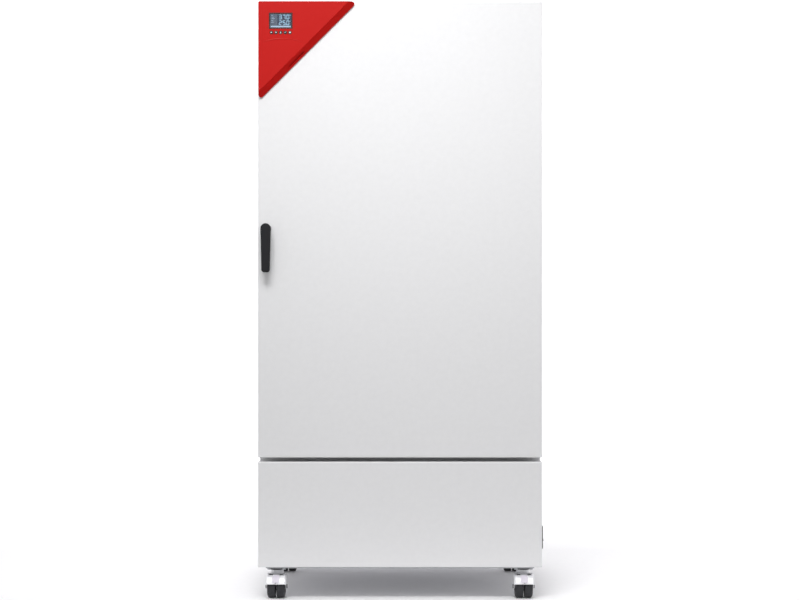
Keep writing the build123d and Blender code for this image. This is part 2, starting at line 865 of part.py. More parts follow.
# Axial condenser fan: a hub that runs on the motor shaft and five pitched blades.
hub_plane = Plane(origin=(condenser_x, condenser_fan_y, condenser_fan_z), x_dir=(1, 0, 0), z_dir=(0, -1, 0))
with BuildPart() as condenser_fan:
    with BuildSketch(hub_plane.offset(-condenser_hub_depth / 2)):
        Circle(condenser_hub_diameter / 2)
    extrude(amount=condenser_hub_depth)
    for blade in range(condenser_fan_blades):
        outwards = Vector(1, 0, 0).rotate(Axis.Y, blade * 360 / condenser_fan_blades)
        root = hub_plane.origin + outwards * condenser_hub_diameter / 4
        with BuildSketch(Plane(origin=root, x_dir=hub_plane.z_dir, z_dir=outwards)):
            Rectangle(condenser_blade_thickness, condenser_blade_width, rotation=-condenser_blade_pitch_angle)
        extrude(amount=condenser_fan_diameter / 2 - condenser_hub_diameter / 4 - condenser_fan_gap)
    with BuildSketch(hub_plane.offset(-condenser_hub_depth)):
        Circle(condenser_shaft_diameter / 2 + slip_fit)
    extrude(amount=2 * condenser_hub_depth, mode=Mode.SUBTRACT)
condenser_fan.part.label = "condenser_fan"
export_step(condenser_fan.part, "parts/condenser_fan.step")


# Hermetic compressor: a domed shell with a welded seam, on a foot plate with four rubber feet.
compressor_x = side_x - compressor_side_inset
compressor_y = rear_y - compressor_rear_inset
compressor_plate_z = shell_bottom_z + compressor_foot_height
compressor_shell_z = compressor_plate_z + compressor_plate_thickness
compressor_radius = compressor_diameter / 2
base_centre = (compressor_radius - compressor_base_radius, compressor_base_radius)
dome_centre = (compressor_radius - compressor_dome_radius, compressor_height - compressor_dome_radius)
shell_plane = Plane(
    origin=(compressor_x, compressor_y, compressor_shell_z), x_dir=(1, 0, 0), z_dir=(0, -1, 0)
)
with BuildPart() as compressor:
    with BuildSketch(shell_plane):
        with BuildLine():
            Polyline(
                (0, 0),
                *arc_points(base_centre, compressor_base_radius, -90, 0, compressor_base_chords),
                *arc_points(dome_centre, compressor_dome_radius, 0, 90, compressor_dome_chords),
                (0, compressor_height),
                close=True,
            )
        make_face()
        with Locations((compressor_radius / 2 + compressor_seam_width / 2, compressor_seam_height)):
            Rectangle(compressor_radius + compressor_seam_width, compressor_seam_width)
    revolve(axis=Axis((compressor_x, compressor_y, 0), (0, 0, 1)))
    with BuildSketch(Plane.XY.offset(compressor_plate_z)):
        with Locations((compressor_x, compressor_y)):
            RectangleRounded(
                compressor_foot_spacing + compressor_foot_diameter,
                compressor_foot_spacing + compressor_foot_diameter,
                compressor_foot_diameter / 2,
            )
    extrude(amount=compressor_plate_thickness)
    with BuildSketch(Plane.XY.offset(shell_bottom_z)):
        with Locations((compressor_x, compressor_y)):
            with GridLocations(compressor_foot_spacing, compressor_foot_spacing, 2, 2):
                Circle(compressor_foot_diameter / 2)
    extrude(amount=compressor_foot_height)
compressor.part.label = "compressor"
export_step(compressor.part, "parts/compressor.step")


# Access port: a sleeve through the left wall with a flange outside, closed by a tapered silicone plug.
port_outer_x = -side_x - port_flange_thickness
sleeve_end_x = -guide_half_spread
with BuildPart() as access_port_sleeve:
    with BuildSketch(side_plane(-side_x)):
        with Locations((port_y, port_z)):
            Circle(port_bore / 2 + port_wall)
    extrude(amount=sleeve_end_x + side_x)
    with BuildSketch(side_plane(port_outer_x)):
        with Locations((port_y, port_z)):
            Circle(port_flange_diameter / 2)
    extrude(amount=port_flange_thickness)
    with BuildSketch(side_plane(port_outer_x)):
        with Locations((port_y, port_z)):
            Circle(port_bore / 2)
    extrude(amount=sleeve_end_x - port_outer_x, mode=Mode.SUBTRACT)
access_port_sleeve.part.label = "access_port_sleeve"
export_step(access_port_sleeve.part, "parts/access_port_sleeve.step")

plug_radius = port_bore / 2 - seat_gap
plug_plane = Plane(origin=(port_outer_x - seat_gap, port_y, port_z), x_dir=(1, 0, 0), z_dir=(0, -1, 0))
with BuildPart() as access_port_plug:
    with BuildSketch(plug_plane):
        with BuildLine():
            Polyline(
                (-plug_head_thickness, 0),
                (-plug_head_thickness, plug_head_diameter / 2 - plug_head_edge),
                (-plug_head_thickness + plug_head_edge, plug_head_diameter / 2),
                (0, plug_head_diameter / 2),
                (0, plug_radius),
                (plug_length, plug_radius - plug_draw),
                (plug_length, 0),
                close=True,
            )
        make_face()
    revolve(axis=Axis(plug_plane.origin, (1, 0, 0)))
access_port_plug.part.label = "access_port_plug"
export_step(access_port_plug.part, "parts/access_port_plug.step")


rack_width = 2 * guide_half_spread - 2 * rack_side_gap
rack_depth = partition_y - rack_back_gap - rib_front_y
lower_rack_level = rib_count // 2 - 1
upper_rack_level = rib_count - 2


def wire_rack(level):
    """Wire rack on the ribs of one level: a bar frame, cross bars, wires from front to back and a stop."""
    low_z = chamber_floor_z + first_rib_rise + level * rib_pitch + rack_clearance
    front_y = rib_front_y
    back_y = front_y + rack_depth
    half_width = rack_width / 2
    with BuildPart() as rack:
        with BuildSketch(Plane.XY.offset(low_z)):
            with Locations((0, (front_y + back_y) / 2)):
                RectangleRounded(rack_width, rack_depth, rack_corner_radius)
                Rectangle(rack_width - 2 * rack_bar, rack_depth - 2 * rack_bar, mode=Mode.SUBTRACT)
        extrude(amount=rack_bar)
        with BuildSketch(Plane.XY.offset(low_z)):
            with Locations((0, (front_y + back_y) / 2)):
                with GridLocations(0, rack_depth / (rack_cross_count + 1), 1, rack_cross_count):
                    Rectangle(rack_width - rack_bar, rack_bar)
        extrude(amount=rack_bar - rack_wire + rack_wire_bite)
        with BuildSketch(front_plane(back_y - rack_bar / 2)):
            with Locations((0, low_z + rack_bar - rack_wire / 2)):
                with GridLocations(rack_width / (rack_wire_count + 1), 0, rack_wire_count, 1):
                    RegularPolygon(rack_wire / 2, rack_wire_sides)
        extrude(amount=rack_depth - rack_bar)
        with BuildSketch(Plane.XY.offset(low_z + rack_bar)):
            rectangle_between(
                (-half_width + rack_corner_radius, back_y - rack_wire),
                (half_width - rack_corner_radius, back_y),
            )
        extrude(amount=rack_stop_height)
    return rack


lower_rack = wire_rack(lower_rack_level)
lower_rack.part.label = "lower_rack"
export_step(lower_rack.part, "parts/lower_rack.step")
upper_rack = wire_rack(upper_rack_level)
upper_rack.part.label = "upper_rack"
export_step(upper_rack.part, "parts/upper_rack.step")


def pressed_pan(low_z, high_z, back_y):
    """Folded sheet pan, open at the back, with its front edges rounded."""
    with BuildPart() as pan:
        with BuildSketch(front_plane(back_y)):
            rectangle_between((-side_x, low_z), (side_x, high_z))
        extrude(amount=back_y - door_face_y)
        fillet(pan.faces().sort_by(Axis.Y)[0].edges(), pan_edge_radius)
        with BuildSketch(front_plane(back_y)):
            rectangle_between(
                (-side_x + door_sheet, low_z + door_sheet), (side_x - door_sheet, high_z - door_sheet)
            )
        extrude(amount=back_y - door_face_y - door_sheet, mode=Mode.SUBTRACT)
    return pan


# Lower cover of the machine compartment, flush with the door.
lower_front_cover = pressed_pan(shell_bottom_z, cover_top_z, cabinet_front_y)
lower_front_cover.part.label = "lower_front_cover"
export_step(lower_front_cover.part, "parts/lower_front_cover.step")


# Outer door skin with a return flange at the back and a hole for the handle spindle.
handle_x = -side_x + handle_inset
handle_z = cabinet_height - handle_drop
spindle_hole_radius = spindle_diameter / 2 + spindle_hole_margin
door_pan = pressed_pan(door_bottom_z, cabinet_height, door_back_y)
with BuildPart() as door_skin:
    add(door_pan.part)
    with BuildSketch(front_plane(door_back_y)):
        rectangle_between((-side_x, door_bottom_z), (side_x, cabinet_height))
        rectangle_hole(
            (-side_x + door_return_width, door_bottom_z + door_return_width),
            (side_x - door_return_width, cabinet_height - door_return_width),
        )
    extrude(amount=door_sheet)
    with BuildSketch(front_plane(door_face_y + door_sheet)):
        with Locations((handle_x, handle_z)):
            Circle(spindle_hole_radius)
    extrude(amount=door_sheet, mode=Mode.SUBTRACT)
door_skin.part.label = "door_skin"
export_step(door_skin.part, "parts/door_skin.step")


# Door liner: a moulded sheet with a shallow pressing that makes room for the inner glass door's fittings.
pressing_width = glass_width + 2 * liner_pressing_side_margin
pressing_height = glass_height + 2 * liner_pressing_margin
with BuildPart() as door_liner:
    with BuildSketch(front_plane(door_back_y)):
        rectangle_between(
            (-side_x + door_return_width, door_bottom_z + door_return_width),
            (side_x - door_return_width, cabinet_height - door_return_width),
        )
        with Locations((0, chamber_middle_z)):
            RectangleRounded(pressing_width, pressing_height, pressing_corner_radius, mode=Mode.SUBTRACT)
        with Locations((handle_x, handle_z)):
            Circle(spindle_hole_radius, mode=Mode.SUBTRACT)
    extrude(amount=door_liner_thickness)
    with BuildSketch(front_plane(door_back_y)):
        with Locations((0, chamber_middle_z)):
            RectangleRounded(
                pressing_width + 2 * door_liner_thickness,
                pressing_height + 2 * door_liner_thickness,
                pressing_corner_radius + door_liner_thickness,
            )
    extrude(amount=liner_pressing_depth + door_liner_thickness)
    with BuildSketch(front_plane(door_back_y)):
        with Locations((0, chamber_middle_z)):
            RectangleRounded(pressing_width, pressing_height, pressing_corner_radius)
    extrude(amount=liner_pressing_depth, mode=Mode.SUBTRACT)
door_liner.part.label = "door_liner"
export_step(door_liner.part, "parts/door_liner.step")


# Foam inside the outer door.
with BuildPart() as door_insulation:
    with BuildSketch(front_plane(door_back_y - door_liner_thickness)):
        rectangle_between(
            (-side_x + door_sheet, door_bottom_z + door_sheet),
            (side_x - door_sheet, cabinet_height - door_sheet),
        )
        with Locations((handle_x, handle_z)):
            Circle(spindle_hole_radius, mode=Mode.SUBTRACT)
    extrude(amount=door_thickness - door_liner_thickness - door_sheet)
    with BuildSketch(front_plane(door_back_y)):
        with Locations((0, chamber_middle_z)):
            RectangleRounded(
                pressing_width + 2 * door_liner_thickness,
                pressing_height + 2 * door_liner_thickness,
                pressing_corner_radius + door_liner_thickness,
            )
    extrude(amount=liner_pressing_depth + door_liner_thickness, mode=Mode.SUBTRACT)
door_insulation.part.label = "door_insulation"
export_step(door_insulation.part, "parts/door_insulation.step")


# Magnetic gasket on the door liner; it lands on the front frame.
gasket_half_width = recess_width / 2 + gasket_margin
gasket_low_z = chamber_middle_z - recess_height / 2 - gasket_foot_margin
gasket_high_z = chamber_middle_z + recess_height / 2 + gasket_head_margin
with BuildPart() as door_gasket:
    with BuildSketch(front_plane(cabinet_front_y - seat_gap)):
        rectangle_between(
            (-gasket_half_width - gasket_width, gasket_low_z - gasket_width),
            (gasket_half_width + gasket_width, gasket_high_z + gasket_width),
        )
        rectangle_hole((-gasket_half_width, gasket_low_z), (gasket_half_width, gasket_high_z))
    extrude(amount=seal_gap - seat_gap)
    chamfer(door_gasket.faces().sort_by(Axis.Y)[-1].edges(), gasket_edge)
door_gasket.part.label = "door_gasket"
export_step(door_gasket.part, "parts/door_gasket.step")


# Butt hinges in the gap behind the door: middle barrels turn with the door, outer barrels and pins stay.
hinge_x = side_x - hinge_inset
hinge_y = (door_back_y + cabinet_front_y) / 2
hinge_span = door_height - 2 * hinge_end_margin
hinge_heights = [
    door_bottom_z + hinge_end_margin + place * hinge_span / (hinge_count - 1) for place in range(hinge_count)
]
barrel_height = hinge_height / 3
leaf_edge_x = hinge_x - hinge_knuckle_radius - hinge_leaf_gap


def hinge_leaf(low_z, leaf_y, barrel_lows, barrel_length):
    """One leaf lying from leaf_y towards the back, joined to its barrels by tabs."""
    with BuildPart() as leaf:
        with BuildSketch(Plane.XY.offset(low_z)):
            rectangle_between(
                (leaf_edge_x - hinge_leaf_width, leaf_y), (leaf_edge_x, leaf_y + hinge_leaf_thickness)
            )
        extrude(amount=hinge_height)
        for barrel_low in barrel_lows:
            with BuildSketch(Plane.XY.offset(barrel_low)):
                rectangle_between((leaf_edge_x, leaf_y), (hinge_x, leaf_y + hinge_leaf_thickness))
                with Locations((hinge_x, hinge_y)):
                    Circle(hinge_knuckle_radius)
            extrude(amount=barrel_length)
    return leaf


with BuildPart() as door_hinge_leaves:
    for middle_z in hinge_heights:
        leaf = hinge_leaf(
            middle_z - hinge_height / 2,
            door_back_y,
            [middle_z - barrel_height / 2 + seat_gap],
            barrel_height - 2 * seat_gap,
        )
        add(leaf.part)
        with BuildSketch(Plane.XY.offset(middle_z - barrel_height / 2)):
            with Locations((hinge_x, hinge_y)):
                Circle(hinge_pin_radius + slip_fit)
        extrude(amount=barrel_height, mode=Mode.SUBTRACT)
door_hinge_leaves.part.label = "door_hinge_leaves"
export_step(door_hinge_leaves.part, "parts/door_hinge_leaves.step")


# Brackets of the inner glass door's hinges, with their pins.
glass_front_y = cabinet_front_y + glass_setback
glass_back_y = glass_front_y + glass_thickness
glass_half_width = glass_width / 2
glass_hinge_x = glass_half_width + glass_hinge_offset
glass_hinge_y = glass_front_y - glass_hinge_lead
glass_hinge_reach = glass_height / 2 - glass_hinge_end_margin
glass_hinge_heights = [chamber_middle_z - glass_hinge_reach, chamber_middle_z + glass_hinge_reach]
bracket_edge_x = glass_hinge_x + glass_knuckle_radius + hinge_leaf_gap
bracket_end_x = bracket_edge_x + glass_bracket_width

with BuildPart() as cabinet_hinge_leaves:
    for middle_z in hinge_heights:
        leaf = hinge_leaf(
            middle_z - hinge_height / 2,
            cabinet_front_y - hinge_leaf_thickness,
            [middle_z - hinge_height / 2, middle_z + barrel_height / 2],
            barrel_height,
        )
        add(leaf.part)
        with BuildSketch(Plane.XY.offset(middle_z - hinge_height / 2)):
            with Locations((hinge_x, hinge_y)):
                Circle(hinge_pin_radius)
        extrude(amount=hinge_height)
    for middle_z in glass_hinge_heights:
        bracket_low_z = middle_z - glass_plate_height / 2 - glass_bracket_barrel
        with BuildSketch(Plane.XY.offset(bracket_low_z)):
            rectangle_between(
                (bracket_edge_x, cabinet_front_y - glass_bracket_thickness),
                (bracket_end_x, cabinet_front_y),
            )
        extrude(amount=glass_plate_height + 2 * glass_bracket_barrel)
        for barrel_low in (bracket_low_z, middle_z + glass_plate_height / 2):
            with BuildSketch(Plane.XY.offset(barrel_low)):
                rectangle_between(
                    (glass_hinge_x, cabinet_front_y - glass_bracket_thickness),
                    (bracket_edge_x, cabinet_front_y),
                )
                with Locations((glass_hinge_x, glass_hinge_y)):
                    Circle(glass_knuckle_radius)
            extrude(amount=glass_bracket_barrel)
        with BuildSketch(Plane.XY.offset(bracket_low_z)):
            with Locations((glass_hinge_x, glass_hinge_y)):
                Circle(glass_pin_radius)
        extrude(amount=glass_plate_height + 2 * glass_bracket_barrel)
cabinet_hinge_leaves.part.label = "cabinet_hinge_leaves"
export_step(cabinet_hinge_leaves.part, "parts/cabinet_hinge_leaves.step")


# Inner glass door: pane, bonded hinge plates, seal and knob.
with BuildPart() as glass_pane:
    with BuildSketch(front_plane(glass_back_y)):
        with Locations((0, chamber_middle_z)):
            RectangleRounded(glass_width, glass_height, glass_corner_radius)
    extrude(amount=glass_thickness)
glass_pane.part.label = "glass_pane"
export_step(glass_pane.part, "parts/glass_pane.step")

with BuildPart() as glass_seal:
    with BuildSketch(front_plane(mouth_y - seat_gap)):
        with Locations((0, chamber_middle_z)):
            Rectangle(glass_width - 2 * glass_seal_margin, glass_height - 2 * glass_seal_margin)
            Rectangle(
                glass_width - 2 * glass_seal_margin - 2 * glass_seal_width,
                glass_height - 2 * glass_seal_margin - 2 * glass_seal_width,
                mode=Mode.SUBTRACT,
            )
    extrude(amount=mouth_y - seat_gap - glass_back_y)
glass_seal.part.label = "glass_seal"
export_step(glass_seal.part, "parts/glass_seal.step")

with BuildPart() as glass_hinge_plates:
    for middle_z in glass_hinge_heights:
        with BuildSketch(Plane.XY.offset(middle_z - glass_plate_height / 2 + seat_gap)):
            rectangle_between(
                (glass_hinge_x - glass_plate_width, glass_front_y - glass_plate_thickness),
                (glass_hinge_x, glass_front_y),
            )
            with Locations((glass_hinge_x, glass_hinge_y)):
                Circle(glass_knuckle_radius)
                Circle(glass_pin_radius + slip_fit, mode=Mode.SUBTRACT)
        extrude(amount=glass_plate_height - 2 * seat_gap)
glass_hinge_plates.part.label = "glass_hinge_plates"
export_step(glass_hinge_plates.part, "parts/glass_hinge_plates.step")

knob_x = -glass_half_width + knob_inset
knob_plane = Plane(origin=(knob_x, glass_front_y, chamber_middle_z), x_dir=(1, 0, 0), z_dir=(0, -1, 0))
with BuildPart() as glass_door_knob:
    with BuildSketch(knob_plane):
        Circle(knob_neck_diameter / 2)
    extrude(amount=knob_neck_height)
    with BuildSketch(knob_plane.offset(knob_neck_height)):
        Circle(knob_diameter / 2)
    extrude(amount=knob_height - knob_neck_height)
    chamfer(glass_door_knob.edges().group_by(Axis.Y)[0], knob_edge)
glass_door_knob.part.label = "glass_door_knob"
export_step(glass_door_knob.part, "parts/glass_door_knob.step")


# Control panel: a right-angled triangle whose long side is bevelled to a thin rim, with a slot in the bevel.
panel_x = -side_x + panel_side_inset
panel_z = cabinet_height - panel_top_inset
panel_face_y = door_face_y - panel_thickness
bevel_middle = Vector(panel_x + panel_leg / 2, door_face_y, panel_z - panel_leg / 2)
bevel_outwards = Vector(1, 0, -1).normalized()
bevel_along = Vector(-1, 0, -1).normalized()
bevel_section = Plane(origin=bevel_middle, x_dir=bevel_outwards, z_dir=bevel_along)
bevel_slope = (panel_thickness - panel_rim) / panel_bevel_width
slot_rise = panel_rim + grip_slot_inset * bevel_slope
slot_normal = (bevel_outwards * bevel_slope + Vector(0, -1, 0)).normalized()
slot_foot = bevel_middle - bevel_outwards * grip_slot_inset + bevel_along * grip_slot_offset
slot_origin = slot_foot + Vector(0, -slot_rise, 0)
window_low = (panel_x + window_left, panel_z - window_top - window_height)
window_high = (panel_x + window_left + window_width, panel_z - window_top)
button_z = panel_z - button_drop
button_places = [(panel_x + button_first + place * button_pitch, button_z) for place in range(button_count)]

with BuildPart() as control_panel:
    with BuildSketch(front_plane(door_face_y)):
        with BuildLine():
            Polyline(
                (panel_x, panel_z),
                (panel_x + panel_leg, panel_z),
                (panel_x, panel_z - panel_leg),
                close=True,
            )
        make_face()
        fillet(vertices().sort_by_distance((panel_x, panel_z))[0], panel_square_radius)
        fillet(vertices().sort_by(Axis.X)[-1], panel_corner_radius)
        fillet(vertices().sort_by(Axis.Y)[0], panel_corner_radius)
    extrude(amount=panel_thickness)
    with BuildSketch(bevel_section):
        with BuildLine():
            Polyline(
                (-panel_bevel_width, panel_thickness),
                (panel_rim, panel_rim - panel_rim * bevel_slope),
                (panel_rim, panel_thickness + panel_rim),
                (-panel_bevel_width, panel_thickness + panel_rim),
                close=True,
            )
        make_face()
    extrude(amount=panel_leg, both=True, mode=Mode.SUBTRACT)
    with BuildSketch(Plane(origin=slot_origin, x_dir=bevel_along, z_dir=slot_normal)):
        RectangleRounded(grip_slot_length, grip_slot_width, grip_slot_corner)
    extrude(amount=-grip_slot_depth, mode=Mode.SUBTRACT)
    with BuildSketch(front_plane(door_face_y)):
        rectangle_between(
            (panel_x + bay_margin, panel_z - bay_margin - electronics_bay_height),
            (panel_x + bay_margin + electronics_bay_width, panel_z - bay_margin),
        )
    extrude(amount=panel_thickness - panel_wall, mode=Mode.SUBTRACT)
    with BuildSketch(front_plane(panel_face_y)):
        rectangle_between(
            (window_low[0] - window_fit, window_low[1] - window_fit),
            (window_high[0] + window_fit, window_high[1] + window_fit),
        )
    extrude(amount=-window_glass, mode=Mode.SUBTRACT)
    with BuildSketch(front_plane(panel_face_y)):
        rectangle_between(
            (window_low[0] + window_ledge, window_low[1] + window_ledge),
            (window_high[0] - window_ledge, window_high[1] - window_ledge),
        )
        with Locations(*button_places):
            Circle(button_diameter / 2 + button_hole_gap)
    extrude(amount=-panel_wall, mode=Mode.SUBTRACT)
control_panel.part.label = "control_panel"
export_step(control_panel.part, "parts/control_panel.step")

with BuildPart() as display_window:
    with BuildSketch(front_plane(panel_face_y + window_glass)):
        rectangle_between(window_low, window_high)
    extrude(amount=window_glass)
display_window.part.label = "display_window"
export_step(display_window.part, "parts/display_window.step")


# Five push buttons, each with a flange behind the panel wall and a stem that stops short of the door.
for number, (button_x, button_height) in enumerate(button_places, start=1):
    button_plane = Plane(origin=(button_x, panel_face_y, button_height), x_dir=(1, 0, 0), z_dir=(0, -1, 0))
    flange_top = panel_wall + seat_gap
    stem_length = panel_thickness - flange_top - button_travel - seat_gap
    with BuildPart() as button:
        with BuildSketch(button_plane.offset(-flange_top)):
            Circle(button_diameter / 2)
        extrude(amount=flange_top + button_projection)
        chamfer(button.edges().group_by(Axis.Y)[0], button_edge)
        with BuildSketch(button_plane.offset(-flange_top)):
            Circle(button_flange_diameter / 2)
        extrude(amount=-button_flange_thickness)
        with BuildSketch(button_plane.offset(-flange_top)):
            Rectangle(button_stem_width, button_stem_width)
        extrude(amount=-stem_length)
    button.part.label = f"button_{number}"
    export_step(button.part, f"parts/button_{number}.step")


# Door handle: a boss on the door face, a tapered lever on its spindle and the latch cam behind the door.
lever_back_y = door_face_y - handle_projection + lever_thickness
cam_front_y = door_back_y + cam_gap
cam_back_y = cam_front_y + cam_thickness
base_front_face_y = door_face_y - handle_base_thickness
with BuildPart() as handle_base:
    with BuildSketch(front_plane(door_face_y)):
        with Locations((handle_x, handle_z)):
            Circle(handle_base_diameter / 2)
    extrude(amount=handle_base_thickness)
    chamfer(handle_base.edges().group_by(Axis.Y)[0], handle_base_edge)
    with BuildSketch(front_plane(door_face_y)):
        with Locations((handle_x, handle_z)):
            Circle(spindle_diameter / 2 + slip_fit)
    extrude(amount=handle_base_thickness, mode=Mode.SUBTRACT)
handle_base.part.label = "handle_base"
export_step(handle_base.part, "parts/handle_base.step")

lever_foot_z = handle_z + lever_top_radius - lever_length
with BuildPart() as handle_lever:
    with BuildSketch(front_plane(lever_back_y)):
        with Locations((handle_x, handle_z)):
            Circle(lever_top_radius)
        with Locations((handle_x, lever_foot_z + lever_corner_radius)):
            with GridLocations(lever_bottom_width - 2 * lever_corner_radius, 0, 2, 1):
                Circle(lever_corner_radius)
        make_hull()
    extrude(amount=lever_thickness)
    fillet(handle_lever.faces().sort_by(Axis.Y)[0].edges(), lever_edge_radius)
    with BuildSketch(front_plane(lever_back_y)):
        with Locations((handle_x, handle_z)):
            Circle(handle_neck_diameter / 2)
    extrude(amount=-(base_front_face_y - seat_gap - lever_back_y))
    with BuildSketch(front_plane(lever_back_y)):
        with Locations((handle_x, handle_z)):
            Circle(spindle_diameter / 2)
    extrude(amount=-(cam_back_y + spindle_tail - lever_back_y))
handle_lever.part.label = "handle_lever"
export_step(handle_lever.part, "parts/handle_lever.step")


def ring_sector(inner_radius, outer_radius, start_angle, end_angle):
    """Part of a ring about the sketch's origin."""
    with BuildSketch(Plane.XY) as sector:
        with BuildLine():
            inner = CenterArc((0, 0), inner_radius, start_angle, end_angle - start_angle)
            outer = CenterArc((0, 0), outer_radius, start_angle, end_angle - start_angle)
            Line(inner @ 0, outer @ 0)
            Line(inner @ 1, outer @ 1)
        make_face()
    return sector.sketch


cam_slot_half = keeper_diameter / 2 + keeper_clearance
with BuildPart() as latch_cam:
    with BuildSketch(Plane(origin=(handle_x, cam_back_y, handle_z), x_dir=(1, 0, 0), z_dir=(0, -1, 0))):
        Circle(cam_hub_radius)
        add(ring_sector(cam_hub_radius - cam_hub_overlap, cam_reach, cam_start_angle, cam_end_angle))
        slot_path = ring_sector(
            keeper_circle_radius - cam_slot_half,
            keeper_circle_radius + cam_slot_half,
            cam_start_angle - cam_slot_lead_angle,
            cam_slot_end_angle,
        )
        add(slot_path, mode=Mode.SUBTRACT)
        with Locations((0, -keeper_circle_radius)):
            Circle(cam_slot_half, mode=Mode.SUBTRACT)
        Circle(spindle_diameter / 2, mode=Mode.SUBTRACT)
    extrude(amount=cam_thickness)
latch_cam.part.label = "latch_cam"
export_step(latch_cam.part, "parts/latch_cam.step")

with BuildPart() as latch_keeper:
    with BuildSketch(front_plane(cabinet_front_y)):
        with Locations((handle_x, handle_z - keeper_circle_radius)):
            Circle(keeper_flange_diameter / 2)
    extrude(amount=keeper_flange_thickness)
    with BuildSketch(front_plane(cabinet_front_y)):
        with Locations((handle_x, handle_z - keeper_circle_radius)):
            Circle(keeper_diameter / 2)
    extrude(amount=seal_gap - keeper_end_gap)
latch_keeper.part.label = "latch_keeper"
export_step(latch_keeper.part, "parts/latch_keeper.step")


# Connection block low on the right side, with the mains rocker in its recess.
block_outer_x = side_x + block_projection
rocker_pivot_x = block_outer_x - rocker_pivot_depth
rocker_half_length = rocker_length / 2
recess_half_length = rocker_half_length + rocker_end_gap
with BuildPart() as connection_panel:
    with BuildSketch(side_plane(side_x)):
        with Locations((block_middle_y, block_middle_z)):
            RectangleRounded(block_width, block_height, block_edge_radius)
    extrude(amount=block_projection)
    chamfer(connection_panel.faces().sort_by(Axis.X)[-1].edges(), block_edge)
    with BuildSketch(side_plane(side_x)):
        with Locations((block_middle_y, block_middle_z)):
            Rectangle(block_width - 2 * block_tail_inset, block_height - 2 * block_tail_inset)
    extrude(amount=-block_tail)
    with BuildSketch(side_plane(block_outer_x)):
        with Locations((block_middle_y, block_middle_z)):
            Rectangle(rocker_width + 2 * rocker_gap, 2 * recess_half_length)
    extrude(amount=-block_recess_depth, mode=Mode.SUBTRACT)
    with BuildSketch(front_plane(block_middle_y - rocker_width / 2 - rocker_gap - rocker_pin_length)):
        with Locations((rocker_pivot_x, block_middle_z)):
            Circle(rocker_pin_diameter / 2 + slip_fit)
    extrude(amount=-(rocker_width + 2 * rocker_gap + 2 * rocker_pin_length), mode=Mode.SUBTRACT)
connection_panel.part.label = "connection_panel"
export_step(connection_panel.part, "parts/connection_panel.step")

rocker_plane = Plane(
    origin=(rocker_pivot_x, block_middle_y - rocker_width / 2, block_middle_z),
    x_dir=Vector(1, 0, 0).rotate(Axis.Y, -rocker_tilt),
    z_dir=(0, -1, 0),
)
with BuildPart() as power_switch:
    with BuildSketch(rocker_plane):
        with BuildLine():
            Polyline(
                (-rocker_back, -rocker_half_length + rocker_rise),
                (rocker_crest, -rocker_half_length),
                (rocker_crest - rocker_dip, 0),
                (rocker_crest, rocker_half_length),
                (-rocker_back, rocker_half_length - rocker_rise),
                close=True,
            )
        make_face()
    extrude(amount=-rocker_width)
    with BuildSketch(rocker_plane.offset(rocker_pin_length)):
        Circle(rocker_pin_diameter / 2)
    extrude(amount=-(rocker_width + 2 * rocker_pin_length))
power_switch.part.label = "power_switch"
export_step(power_switch.part, "parts/power_switch.step")


# Twin-wheel castors. The axle lies in front of the swivel axis by the trail.
wheel_radius = wheel_diameter / 2
axle_radius = axle_diameter / 2
wheel_outer = wheel_split / 2 + wheel_width
cheek_inner = wheel_outer + hood_cheek_gap
cheek_outer = cheek_inner + hood_sheet
hood_inner_radius = wheel_radius + hood_gap
hood_outer_radius = hood_inner_radius + hood_sheet
race_low_z = castor_height - castor_plate_thickness - race_height
crown_top_z = race_low_z - race_gap
web_low_angle = (pedal_low_angle + pedal_high_angle - pedal_web_angle) / 2


def castor_side_plane(place, offset_x):
    """Upright plane facing +X through the axle of the castor at the given place."""
    axle = (place[0] + offset_x, place[1] - castor_trail, wheel_radius)
    return Plane(origin=axle, x_dir=(0, 1, 0), z_dir=(1, 0, 0))


def castor_fork(place, with_pedal):
    """Pressed fork: a hood over the wheels, two cheeks down to the axle, a crown and the kingpin."""
    crown_plane = Plane.XY.offset(crown_top_z)
    with BuildPart() as fork:
        with BuildSketch(castor_side_plane(place, -cheek_outer)):
            add(ring_sector(axle_radius, hood_outer_radius, 180 - hood_rear_angle, 180 - hood_front_angle))
            Circle(fork_boss_radius)
        extrude(amount=2 * cheek_outer)
        round_edges = fork.edges().filter_by(GeomType.CIRCLE)
        rims = round_edges.filter_by(lambda edge: edge.radius > hood_inner_radius)
        chamfer(rims, hood_shoulder)
        with BuildSketch(crown_plane):
            with Locations(place):
                Circle(crown_diameter / 2)
        extrude(amount=-crown_height)
        with BuildSketch(castor_side_plane(place, -cheek_inner)):
            Circle(hood_inner_radius)
        extrude(amount=2 * cheek_inner, mode=Mode.SUBTRACT)
        with BuildSketch(castor_side_plane(place, -cheek_outer)):
            Circle(axle_radius + slip_fit)
        extrude(amount=2 * cheek_outer, mode=Mode.SUBTRACT)
        with BuildSketch(crown_plane):
            with Locations(place):
                Circle(kingpin_diameter / 2)
        extrude(amount=castor_height - crown_top_z - race_gap)
        slot_z = wheel_radius + hood_outer_radius - hood_slot_drop
        with BuildSketch(front_plane(place[1] - castor_trail - hood_slot_reach)):
            with Locations((place[0], slot_z)):
                with GridLocations(2 * hood_slot_offset, 0, 2, 1):
                    Rectangle(hood_slot_width, hood_slot_height)
        extrude(amount=hood_outer_radius, mode=Mode.SUBTRACT)
        if with_pedal:
            with BuildSketch(castor_side_plane(place, -pedal_web / 2 - pedal_slot_margin)):
                web_path = ring_sector(
                    hood_inner_radius - pedal_gap,
                    hood_outer_radius + pedal_gap,
                    180 - web_low_angle - pedal_web_angle - pedal_slot_play,
                    180 - web_low_angle + pedal_travel_angle + pedal_slot_play,
                )
                add(web_path)
            extrude(amount=pedal_web + 2 * pedal_slot_margin, mode=Mode.SUBTRACT)
    return fork


